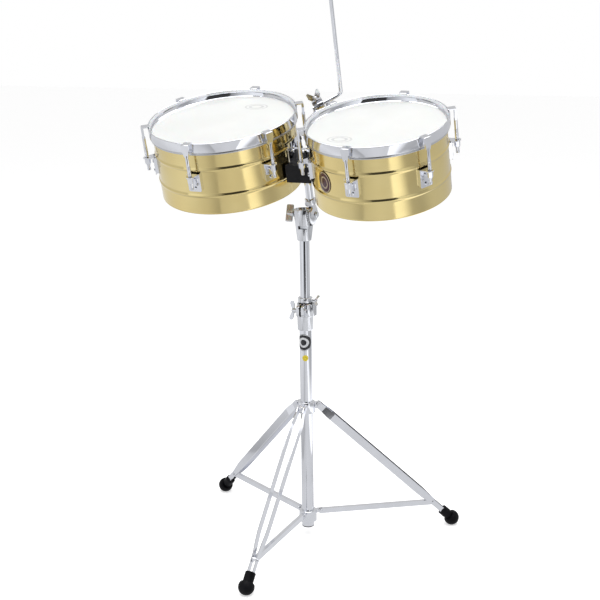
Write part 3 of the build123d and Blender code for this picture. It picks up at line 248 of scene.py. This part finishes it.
def polished_brass():
    """Lacquered brass, spun on a lathe: fine lines round the drum, faint tarnish and wiping marks."""
    s = Shader("polished_brass", Metallic=1.0)
    height = s.vector("DOT_PRODUCT", s.place, tuple(drum_axis))
    lines = s.node("ShaderNodeTexNoise", noise_dimensions="1D")
    s.plug(lines.inputs["W"], height)
    lines.inputs["Scale"].default_value = 900
    lines.inputs["Detail"].default_value = 4
    tarnish = s.fit(s.noise(5, 4), 0, 1)
    s.set(Base_Color=s.mix(tarnish, (0.88, 0.73, 0.35), (0.82, 0.65, 0.28)))
    smear = s.noise(14, 5, (1, 1, 3))
    s.set(Roughness=s.fit(smear, 0.10, 0.17), Normal=s.bump(lines.outputs["Fac"], 0.000012))
    s.set(Coat_Weight=0.25, Coat_Roughness=0.08)
    return s.material


# Painted shade for slots and hollows: its dark colour, and the occlusion values between which it fades out.
SLOT_PAINTED_SHADE = (0.02, 0.02, 0.022)
SLOT_SHUT, SLOT_OPEN = 0.25, 0.55


def chrome_plate(name, colour, low, high, ripple, shade_reach=0.0):
    """Plated metal: a tint of blue, roughness that varies with wiping, and the ripple of the metal below.

    Within the given reach of other surfaces, places that are closed in get painted shade: their colour is
    darkened. A reach of zero leaves that out."""
    s = Shader(name, Metallic=1.0)
    cloud = s.noise(22, 4)
    shade = tuple(c * 0.95 for c in colour)
    plate = s.mix(s.fit(s.noise(18, 3), 0, 1), colour, shade)
    # Painted shade: ambient occlusion darkens the plating colour in slots, holes and hollows.
    if shade_reach:
        painted_shade_occlusion = s.node("ShaderNodeAmbientOcclusion", samples=8)
        painted_shade_occlusion.inputs["Distance"].default_value = shade_reach
        plate = s.mix(s.fit(painted_shade_occlusion.outputs["AO"], 0, 1, SLOT_SHUT, SLOT_OPEN), SLOT_PAINTED_SHADE, plate)
    s.set(Base_Color=plate)
    s.set(Roughness=s.fit(cloud, low, high), Normal=s.bump(s.noise(160, 2), ripple))
    return s.material


def powder_coat():
    s = Shader("black_powder_coat", Metallic=0.0, Specular_IOR_Level=0.22)
    grain = s.noise(1400, 3)
    s.set(Base_Color=s.mix(s.fit(s.noise(40, 4), 0, 1), (0.006, 0.006, 0.008), (0.014, 0.014, 0.017)))
    s.set(Roughness=s.fit(grain, 0.28, 0.45), Normal=s.bump(grain, 0.00012))
    return s.material


def satin_aluminium():
    s = Shader("satin_aluminium", Metallic=1.0)
    brushed = s.noise(500, 3, (1, 1, 12))
    s.set(Base_Color=s.mix(s.fit(brushed, 0, 1), (0.72, 0.73, 0.75), (0.60, 0.61, 0.63)))
    s.set(Roughness=s.fit(brushed, 0.24, 0.38), Normal=s.bump(brushed, 0.00002))
    return s.material


def moulded_rubber():
    s = Shader("moulded_rubber", Specular_IOR_Level=0.1)
    dust = s.fit(s.noise(45, 5), 0, 1)
    grain = s.noise(1800, 2)
    s.set(Base_Color=s.mix(dust, (0.003, 0.003, 0.004), (0.009, 0.009, 0.011)))
    s.set(Roughness=s.fit(s.noise(90, 4), 0.36, 0.55), Normal=s.bump(grain, 0.00008))
    return s.material


def moulded_nylon():
    s = Shader("moulded_nylon", Specular_IOR_Level=0.4)
    grain = s.noise(900, 3)
    s.set(Base_Color=s.mix(s.fit(s.noise(50, 3), 0, 1), (0.03, 0.03, 0.034), (0.055, 0.055, 0.06)))
    s.set(Roughness=s.fit(grain, 0.4, 0.6), Normal=s.bump(grain, 0.00004))
    return s.material


LABEL_EDGE = (0.93, 0.03)  # middle and half width of a ring, as shares of the label's radius
LABEL_RING = (0.48, 0.12)


def printed_label(name, node, field, ring):
    """A round label: a plain field with a thin ring at its edge, a broad inner ring and a printed grain."""
    s = Shader(name, Specular_IOR_Level=0.6)
    centre = middle(node)
    low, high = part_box(node)
    radius = (high[2] - low[2]) / 2
    gap = s.vector("SUBTRACT", s.place, tuple(centre))
    parts = s.node("ShaderNodeSeparateXYZ")
    s.plug(parts.inputs[0], gap)
    squares = [s.math("POWER", parts.outputs[way], 2) for way in ("X", "Z")]
    out = s.math("DIVIDE", s.math("SQRT", s.math("ADD", *squares)), radius)
    band = s.math("MAXIMUM", s.line(out, *LABEL_EDGE), s.line(out, *LABEL_RING))
    grain = s.fit(s.noise(700, 3), 0, 1)
    worn = s.mix(grain, field, tuple(min(1, c * 1.35 + 0.004) for c in field))
    s.set(Base_Color=s.mix(band, worn, ring), Roughness=s.fit(s.noise(120, 3), 0.22, 0.38))
    s.set(Normal=s.bump(s.noise(300, 2), 0.00003))
    return s.material


BADGE_SIZE = (0.022, 0.027)
BADGE_LINE = (0.5, 0.07)
BADGE_BORDER, BADGE_EDGE = 0.86, 0.95


def badge_enamel():
    """Oval badge: dark red enamel with a plain oval line, and a worn pale-gold border."""
    s = Shader("badge_enamel", Specular_IOR_Level=0.6)
    centre = middle("drum_badge")
    out = centre - drum_top["right"]
    out = (out - drum_axis * out.dot(drum_axis)).normalized()
    gap = s.vector("SUBTRACT", s.place, tuple(centre))
    reach = s.ellipse(gap, drum_axis.cross(out), drum_axis, BADGE_SIZE)
    line = s.line(reach, *BADGE_LINE)
    border = s.math("GREATER_THAN", reach, BADGE_BORDER)
    edge = s.math("GREATER_THAN", reach, BADGE_EDGE)
    wear = s.fit(s.noise(300, 4), 0, 1)
    enamel = s.mix(wear, (0.05, 0.012, 0.02), (0.075, 0.018, 0.028))
    gold = s.mix(wear, (0.66, 0.56, 0.38), (0.55, 0.45, 0.28))
    lined = s.mix(line, enamel, (0.42, 0.33, 0.22))
    framed = s.mix(border, lined, gold)
    s.set(Base_Color=s.mix(edge, framed, (0.10, 0.07, 0.04)), Metallic=s.math("MULTIPLY", border, 0.7))
    s.set(Roughness=s.fit(s.noise(140, 3), 0.16, 0.30), Normal=s.bump(s.noise(400, 3), 0.00003))
    return s.material


PRINT_SIZE = (0.031, 0.019)
PRINT_PLACE = {"left": (0.045, 0.105), "right": (-0.062, -0.088)}
PRINT_EDGE = (0.93, 0.07)
PRINT_RING = (0.55, 0.12)


def head_film(side):
    """Coated drumhead film: warm white, slightly glossy, with faint plain ovals printed near the edge."""
    s = Shader(f"{side}_head_film", Specular_IOR_Level=0.5)
    u0, v0 = PRINT_PLACE[side]
    gap = s.vector("SUBTRACT", s.place, tuple(drum_top[side]))
    u = s.math("DIVIDE", s.math("SUBTRACT", s.vector("DOT_PRODUCT", gap, tuple(across)), u0), PRINT_SIZE[0])
    v = s.math("DIVIDE", s.math("SUBTRACT", s.vector("DOT_PRODUCT", gap, tuple(away)), v0), PRINT_SIZE[1])
    reach = s.math("SQRT", s.math("ADD", s.math("POWER", u, 2), s.math("POWER", v, 2)))
    rings = s.math("MAXIMUM", s.line(reach, *PRINT_EDGE), s.line(reach, *PRINT_RING))
    ink = s.math("MULTIPLY", rings, s.fit(s.noise(260, 4), 0.20, 0.36))
    cloud = s.fit(s.noise(9, 4), 0, 1)
    film = s.mix(cloud, (0.72, 0.715, 0.70), (0.69, 0.685, 0.67))
    s.set(Base_Color=s.mix(ink, film, (0.20, 0.20, 0.22)), Subsurface_Weight=0.08, Subsurface_Scale=0.01)
    s.set(Roughness=s.fit(s.noise(30, 4), 0.13, 0.22), Normal=s.bump(s.noise(1200, 3), 0.000015))
    return s.material


BRASS = polished_brass()
CHROME = chrome_plate("chrome_plate", (0.87, 0.88, 0.92), 0.045, 0.10, 0.00001)
# Cast pieces get painted shade in slots and hollows closed in within 30 mm.
CAST = chrome_plate("cast_chrome_plate", (0.82, 0.83, 0.86), 0.08, 0.17, 0.00006, shade_reach=0.03)
SATIN = chrome_plate("satin_plate", (0.84, 0.85, 0.87), 0.34, 0.46, 0.00003)
BLACK = powder_coat()
ALUMINIUM = satin_aluminium()
RUBBER = moulded_rubber()
NYLON = moulded_nylon()
HEADS = {side: head_film(side) for side in SIDES}
STAND_LABEL = printed_label("stand_label", "stand_badge", (0.012, 0.012, 0.014), (0.72, 0.73, 0.75))
DOT_LABEL = printed_label("inspection_label", "inspection_dot", (0.80, 0.62, 0.03), (0.62, 0.46, 0.02))

BY_SLOT = {
    "brass_shell": BRASS,
    "chrome": CHROME,
    "cast_chrome": CAST,
    "black_steel": BLACK,
    "hoop_aluminium": ALUMINIUM,
    "black_rubber": RUBBER,
    "nylon": NYLON,
    "label_black": STAND_LABEL,
    "label_yellow": DOT_LABEL,
    "badge_enamel": badge_enamel(),
    "head_film": HEADS["left"],
}
for part in frame["record"]["subparts"]:
    cad_node = frame["nodes"][part["node"]]
    cad_node.data.materials.clear()
    cad_node.data.materials.append(BY_SLOT[part["material_slot"]])

frame["nodes"]["right_head"].data.materials[0] = HEADS["right"]


# ---------------------------------------------------------------- finer drums
def bead_rise(height):
    """How far the shell stands out at a height, with soft roots either side of each bead."""
    return sum(BEAD_RISE * exp(-(abs(height + drop) / BEAD_HALF) ** 3) for drop in BEAD_DROPS)


def shell_outline(radius):
    """Spun shell: rolled bearing edge, two beads, rolled bottom edge."""
    top, bottom = -BEARING_DROP, -SHELL_BOTTOM
    heights = [top - 2 - k * (SHELL_BOTTOM - BEARING_DROP - 4.5) / 150 for k in range(151)]
    outer = [(radius + bead_rise(z), z) for z in heights]
    inner = [(r - SHELL_WALL, z) for r, z in reversed(outer)]
    rolled_top = arc((radius - 2, top - 2), 2, 180, 0, 12)
    rolled_foot = arc((radius - 2.2, bottom + 2.4), 2.4, 20, -200, 14)
    return rolled_top + outer[1:-1] + rolled_foot + inner[1:-1]


def head_outline(radius):
    """Film with its collar turned down over the bearing edge and into the flesh hoop."""
    top = -BEARING_DROP + 0.5
    flat = [(r, top) for r in (0, radius * 0.5, radius * 0.9)]
    skin = flat + arc((radius - 1.5, top - 2.8), 2.8, 90, 0, 10)
    lip = [(radius + 1.5, top - 11), (radius + 1.2, top - 12)]
    tucked = lip + [(radius + 0.7, top - 12), (radius + 0.6, top - 3.5)]
    under = [(radius - 1.5, top - 0.5), (0, top - 0.5)]
    return skin + tucked + under


def hoop_outline(radius):
    """Flesh hoop: a rolled channel with soft corners and a shallow groove round its outside."""
    inside, outside, low, high = radius + 1.5, radius + 5.4, -30.9, -19.7
    groove = [(outside, -24.4), (outside - 0.5, -25), (outside - 0.5, -26), (outside, -26.6)]
    return (
        arc((outside - 1, high - 1), 1, 90, 0, 5) + groove + arc((outside - 1.2, low + 1.2), 1.2, 0, -90, 5)
        + arc((inside + 1, low + 1), 1, -90, -180, 5) + arc((inside + 0.8, high - 0.8), 0.8, 180, 90, 5)
    )


def rim_outline(radius):
    """Rim: straight band with a rolled top, a small bottom roll and the ledge that presses on the hoop."""
    outside = radius + RIM_OUT
    inside = outside - RIM_BAND
    ledge = [(radius + 1.6, -19.1), (radius + 1.6, -17.8), (radius + 1.9, -17.3)]
    ledge += [(inside - 0.8, -17.3), (inside, -16.8)]
    return (
        arc((outside - 1.45, -1.5), 1.5, 185, -20, 12) + [(outside - 0.25, -3.2), (outside - 0.25, -21)]
        + arc((outside - 0.9, -RIM_HEIGHT + 0.9), 0.9, 10, -170, 8) + [(inside + 0.3, -19.5)] + ledge
    )


def thread(low, high):
    """Mesh builder: screw thread on a tension rod between two heights, its crest running round as a helix."""
    steps = 28
    rows = int((high - low) / THREAD_PITCH * 8)

    def build(bm):
        rings = []
        for row in range(rows + 1):
            z = low + (high - low) * row / rows
            fade = min(1, row / 8, (rows - row) / 8)
            ring = []
            for k in range(steps):
                phase = (z / THREAD_PITCH - k / steps) % 1
                r = ROD_R + 0.02 + fade * THREAD_RISE * (1 - abs(2 * phase - 1))
                turn = 2 * pi * k / steps
                ring.append(bm.verts.new((ROD_OUT + r * cos(turn), r * sin(turn), z)))
            rings.append(ring)
        for here, there in zip(rings, rings[1:]):
            for k in range(steps):
                bm.faces.new((here[k], here[(k + 1) % steps], there[(k + 1) % steps], there[k]))
        bm.faces.new(rings[0])
        bm.faces.new(rings[-1])

    return build


def every_rod(side, one_rod):
    """Mesh builder: repeats a mesh drawn beside the shell at azimuth 0 at each of the drum's rods."""

    def build(bm):
        for k in range(RODS):
            start = len(bm.verts)
            one_rod(bm)
            bm.verts.ensure_lookup_table()
            turn = Matrix.Rotation(radians(LUG_START[side] + 360 / RODS * k), 4, "Z")
            placed = turn @ Matrix.Translation((shell_radius[side], 0, 0))
            bmesh.ops.transform(bm, matrix=placed, verts=bm.verts[start:])

    return build


LATHED = (  # new name, outline, material, CAD node replaced
    ("shell_spun", shell_outline, {"left": BRASS, "right": BRASS}, "shell"),
    ("head_skin", head_outline, HEADS, "head"),
    ("hoop_rolled", hoop_outline, {"left": ALUMINIUM, "right": ALUMINIUM}, "flesh_hoop"),
    ("rim_rolled", rim_outline, {"left": CHROME, "right": CHROME}, "rim"),
)
THREADED = (("rod_threads", ROD_THREAD), ("rod_tips", ROD_END_THREAD))
for side in SIDES:
    placement = drum_frame(side)
    rim_set = f"{side}_rim_set"
    for name, outline, finish, node in LATHED:
        body = rim_set if node == "rim" else "drum_pair"
        mesh_builder = lathe(outline(shell_radius[side]))
        make_piece(f"{side}_{name}", mesh_builder, placement, body, finish[side], f"{side}_{node}")
    for name, span in THREADED:
        mesh_builder = every_rod(side, thread(*span))
        make_piece(f"{side}_{name}", mesh_builder, placement, rim_set, CHROME, slot="chrome")

# ---------------------------------------------------------------- tilter nut: two ears joined as one paddle
# Heights in mm are measured out from the tilter's side, along the bolt.
NUT_BASE = 0.02  # gap between the tilter and the nut's face
NUT_BORE = 4.06
BORE_END = 16.4  # just past the bolt's end
HUB_R, HUB_END = 8.5, 9
BARREL_R, BARREL_END = 5.7, 17
NUT_SHOULDER = 3
DOME = 3
PADDLE_LOW, PADDLE_HIGH = 3.5, 22.5
PADDLE_HALF = 22
PADDLE_CORNER = 3
PADDLE_THICK = 2.5
FACE_EDGE = 0.72  # thickness at the paddle's long edges, as a share of that in the middle
PADDLE_SQUARE = 8  # power that makes the paddle's section nearly a rectangle
NUT_TURNS = 48
NUT_ROWS = 40
NUT_SOFT = 0.2
PADDLE_TILT = Vector((0, 0.3, 0.95)).normalized()  # direction of the ears


def hub_radius(h):
    """Radius of the round hub at a height above the nut's face: wide foot, narrower barrel, closed dome."""
    if h <= HUB_END:
        return HUB_R
    if h <= BARREL_END:
        slope = min(1, (h - HUB_END) / NUT_SHOULDER)
        return HUB_R + (BARREL_R - HUB_R) * slope * slope * (3 - 2 * slope)
    return BARREL_R * max(0, 1 - ((h - BARREL_END) / DOME) ** 2) ** 0.5


def ear_size(h):
    """Half length and half thickness of the paddle at a height, with round corners and softly domed faces."""
    inside = min(h - PADDLE_LOW, PADDLE_HIGH - h)
    if inside < 0:
        return 0.01, 0.01
    missing = max(0, PADDLE_CORNER - inside)
    half = PADDLE_HALF - PADDLE_CORNER + (PADDLE_CORNER ** 2 - missing ** 2) ** 0.5
    swell = FACE_EDGE + (1 - FACE_EDGE) * sin(pi * (h - PADDLE_LOW) / (PADDLE_HIGH - PADDLE_LOW))
    edge = 0.6 + 0.4 * min(1, inside / 1.2) ** 0.5
    return half, PADDLE_THICK * swell * edge


def paddle_nut(bm):
    """Mesh builder: hub and paddle as one closed skin round local Z, with a blind bore for the bolt."""
    even = [2 * pi * k / NUT_TURNS for k in range(NUT_TURNS)]
    shifted = [t + 0.02 for t in even]
    crowded = [atan2(PADDLE_THICK * sin(t), PADDLE_HALF * cos(t)) % (2 * pi) for t in shifted]
    turns = sorted(even + crowded)

    def ring(h, radius_at):
        return [bm.verts.new((radius_at(t) * cos(t), radius_at(t) * sin(t), h)) for t in turns]

    def skin(h):
        hub = hub_radius(h)
        half, thick = ear_size(h)

        def ear(t):
            along, over = abs(cos(t) / half), abs(sin(t) / thick)
            return (along ** PADDLE_SQUARE + over ** PADDLE_SQUARE) ** (-1 / PADDLE_SQUARE)

        return ring(h, lambda t: max(hub, ear(t)))

    rise = PADDLE_HIGH - PADDLE_LOW
    heights = [PADDLE_LOW + rise * (1 - cos(pi * k / NUT_ROWS)) / 2 for k in range(NUT_ROWS + 1)]
    rings = [
        ring(BORE_END, lambda t: NUT_BORE),
        ring(NUT_BASE, lambda t: NUT_BORE),
        ring(NUT_BASE, lambda t: HUB_R - 0.6),
        ring(NUT_BASE + 0.6, lambda t: HUB_R),
        ring(PADDLE_LOW - 0.01, lambda t: HUB_R),
    ]
    rings += [skin(h) for h in heights]
    for here, there in zip(rings, rings[1:]):
        for k in range(len(turns)):
            n = (k + 1) % len(turns)
            bm.faces.new((here[k], here[n], there[n], there[k]))
    bm.faces.new(rings[0])
    bm.faces.new(rings[-1])


nut_high = Vector(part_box("tilter_wing_nut")[1])
nut_middle = middle("tilter_wing_nut")
nut_out = Vector((-1, 0, 0))
nut_frame = Matrix((PADDLE_TILT, nut_out.cross(PADDLE_TILT), nut_out)).transposed().to_4x4()
nut_place = Matrix.Translation((nut_high.x, nut_middle.y, nut_middle.z)) @ nut_frame @ Matrix.Scale(MM, 4)
nut = make_piece("tilter_paddle_nut", paddle_nut, nut_place, "tilter_wing", SATIN, "tilter_wing_nut")
bevel_edges(nut, NUT_SOFT * MM, 50)

# ---------------------------------------------------------------- softened edges of CAD pieces
SOFT = {  # edge radius in mm
    "mount_bracket": 1.2, "tilter_base": 0.8, "tilter_arm": 0.7, "height_clamp": 0.9, "memory_lock": 0.4,
    "holder_arm": 0.5, "holder_clamp": 0.6, "leg_collar": 0.5, "sliding_collar": 0.5,
    "left_tension_hooks": 0.5, "right_tension_hooks": 0.5, "left_lugs": 0.4, "right_lugs": 0.4,
    "drum_badge": 0.3,
}
for node, radius in SOFT.items():
    soft_edges(frame["nodes"][node], radius * MM)

# ---------------------------------------------------------------- studio: camera, floor, cards, lights, sky
CAMERA_TURN = radians(22.66)  # the camera stands to the right of straight ahead
CAMERA_DISTANCE = 3.2517
CAMERA_HEIGHT = 1.4113
CAMERA_DOWN = radians(13.42)
CAMERA_ROLL = radians(-0.80)
CAMERA_YAW = radians(0.235)
LENS = 78.93
SENSOR = 36.0
studio_turn = Matrix.Translation(post) @ Matrix.Rotation(CAMERA_TURN, 4, "Z")
studio_right = (studio_turn.to_3x3() @ Vector((1, 0, 0))).normalized()
to_camera = (studio_turn.to_3x3() @ Vector((0, -1, 0))).normalized()

camera_data = bpy.data.cameras.new("camera")
camera_data.lens = LENS
camera_data.sensor_width = SENSOR
camera = bpy.data.objects.new("camera", camera_data)
camera.matrix_world = (
    studio_turn
    @ Matrix.Translation((0, -CAMERA_DISTANCE, CAMERA_HEIGHT))
    @ Matrix.Rotation(CAMERA_YAW, 4, "Z")
    @ Matrix.Rotation(pi / 2 - CAMERA_DOWN, 4, "X")
    @ Matrix.Rotation(CAMERA_ROLL, 4, "Z")
)
bpy.context.scene.collection.objects.link(camera)
bpy.context.scene.camera = camera

PAPER_LEFT, PAPER_RIGHT = -0.56, 0.62  # the strip of open floor between the side cards
PAPER_END = 2.6  # the lit floor ends here, towards the camera
FLOOR_SIZE = 14


def steps_across(s, run, stops):
    """Brightness that runs across the studio: stops are (place, brightness), joined by straight ramps."""
    ramp = s.node("ShaderNodeFloatCurve")
    low, high = stops[0][0], stops[-1][0]
    s.plug(ramp.inputs["Value"], s.fit(run, 0, 1, low, high))
    curve = ramp.mapping.curves[0]
    points = [((place - low) / (high - low), value) for place, value in stops]
    curve.points[0].location, curve.points[-1].location = points[0], points[-1]
    for point in points[1:-1]:
        curve.points.new(*point)
    for point in curve.points:
        point.handle_type = "VECTOR"
    ramp.mapping.update()
    return ramp.outputs[0]


SIDE_STOPS = (
    (-3.0, 0.70), (-1.9, 0.84), (-1.0, 0.66), (PAPER_LEFT - 0.02, 0.44), (PAPER_LEFT, 0.66), (0, 0.74),
    (PAPER_RIGHT, 0.70), (PAPER_RIGHT + 0.02, 1.35), (1.05, 1.20), (1.5, 0.50), (2.2, 0.45), (3.0, 0.6),
)


def paper():
    """White floor: lit and shadowed for the camera, striped light and dark for reflections."""
    s = Shader("studio_paper", Roughness=0.8, Specular_IOR_Level=0.1)
    s.set(Base_Color=s.mix(s.noise(3, 2), (0.90, 0.90, 0.90), (0.92, 0.92, 0.92)))
    place = s.vector("SUBTRACT", s.node("ShaderNodeNewGeometry").outputs["Position"], tuple(post))
    across_studio = s.vector("DOT_PRODUCT", place, tuple(studio_right))
    towards_camera = s.vector("DOT_PRODUCT", place, tuple(to_camera))
    path = s.node("ShaderNodeLightPath")
    s.set(Emission_Color=(1, 1, 1, 1))
    s.set(Emission_Strength=s.math("MULTIPLY", path.outputs["Is Camera Ray"], 0.5))
    glow = s.node("ShaderNodeEmission")
    lit = s.fit(towards_camera, 1.0, 0.05, PAPER_END - 0.3, PAPER_END + 0.3, smooth=True)
    s.plug(glow.inputs["Strength"], s.math("MULTIPLY", steps_across(s, across_studio, SIDE_STOPS), lit))
    glow.inputs["Color"].default_value = (0.97, 0.98, 1.0, 1)
    both = s.node("ShaderNodeMixShader")
    s.plug(both.inputs[0], path.outputs["Is Glossy Ray"])
    s.tree.links.new(s.surface.outputs[0], both.inputs[1])
    s.tree.links.new(glow.outputs[0], both.inputs[2])
    s.tree.links.new(both.outputs[0], s.tree.nodes["Material Output"].inputs["Surface"])
    return s.material


floor_mesh = bpy.data.meshes.new("studio_floor")
floor_build = bmesh.new()
bmesh.ops.create_grid(floor_build, x_segments=1, y_segments=1, size=FLOOR_SIZE)
floor_build.to_mesh(floor_mesh)
floor_build.free()
floor = bpy.data.objects.new("studio_floor", floor_mesh)
bpy.context.scene.collection.objects.link(floor)
floor_mesh.materials.append(paper())


def area_light(name, place, target, size, power, seen=True):
    """A soft rectangular lamp in the studio's own axes, aimed at a point."""
    data = bpy.data.lights.new(name, "AREA")
    data.shape = "RECTANGLE"
    data.size, data.size_y = size
    data.energy = power
    lamp = bpy.data.objects.new(name, data)
    aim = (Vector(target) - Vector(place)).to_track_quat("-Z", "Y").to_matrix().to_4x4()
    lamp.matrix_world = studio_turn @ Matrix.Translation(place) @ aim
    lamp.visible_camera = False
    lamp.visible_glossy = seen
    bpy.context.scene.collection.objects.link(lamp)


def glow_card(name, near, far, height, levels):
    """An upright card from near to far in plan, unseen by the camera, its glow running between two levels."""
    mesh = bpy.data.meshes.new(name)
    corners = ((*near, 0), (*far, 0), (*far, height), (*near, height))
    mesh.from_pydata([studio_turn @ Vector(c) for c in corners], [], [(0, 1, 2, 3)])
    uv = mesh.uv_layers.new(name="run")
    for loop, place in enumerate(((0, 0), (1, 0), (1, 1), (0, 1))):
        uv.data[loop].uv = place
    card = bpy.data.objects.new(name, mesh)
    bpy.context.scene.collection.objects.link(card)
    card.visible_camera = False
    s = Shader(name)
    run = s.node("ShaderNodeSeparateXYZ")
    s.plug(run.inputs[0], s.node("ShaderNodeTexCoord").outputs["UV"])
    glow = s.node("ShaderNodeEmission")
    glow.inputs["Color"].default_value = (0.95, 0.97, 1.0, 1)
    s.plug(glow.inputs["Strength"], s.fit(run.outputs["X"], *levels, 0.0, 0.6))
    s.tree.links.new(glow.outputs[0], s.tree.nodes["Material Output"].inputs["Surface"])
    mesh.materials.append(s.material)


CARD_HEIGHT = 2.4
glow_card("left_card", (-0.85, -PAPER_END), (-3.2, -1.2), CARD_HEIGHT, (0.30, 0.95))
glow_card("right_card", (0.95, -PAPER_END), (3.2, -1.2), CARD_HEIGHT, (1.1, 0.42))
area_light("top_light", (0, -0.1, 3.3), (0, 0, 0), (3.2, 3.2), 75)
area_light("front_fill", (0.4, -3.4, 3.0), (0, 0, 0.9), (1.4, 1.4), 22, seen=False)


def studio_sky():
    """White all round, darker towards the room behind the camera; the camera itself sees white."""
    world = bpy.data.worlds.new("studio")
    world.use_nodes = True
    tree = world.node_tree

    def join(kind, **inputs):
        made = tree.nodes.new(kind)
        for key, value in inputs.items():
            socket = made.inputs[int(key[1:])]
            if isinstance(value, bpy.types.NodeSocket):
                tree.links.new(value, socket)
            else:
                socket.default_value = value
        return made

    sky_way = tree.nodes.new("ShaderNodeTexCoord").outputs["Generated"]
    facing = join("ShaderNodeVectorMath", _0=sky_way, _1=tuple(to_camera))
    facing.operation = "DOT_PRODUCT"
    level = join("ShaderNodeMapRange", _0=facing.outputs["Value"], _1=0.25, _2=0.85, _3=0.62, _4=0.05)
    path = tree.nodes.new("ShaderNodeLightPath")
    chosen = join("ShaderNodeMix", _0=path.outputs["Is Camera Ray"], _2=level.outputs[0], _3=1.0)
    tree.links.new(chosen.outputs[0], tree.nodes["Background"].inputs["Strength"])
    tree.nodes["Background"].inputs["Color"].default_value = (1, 1, 1, 1)
    return world


bpy.context.scene.world = studio_sky()
bpy.context.scene.view_settings.view_transform = "Standard"
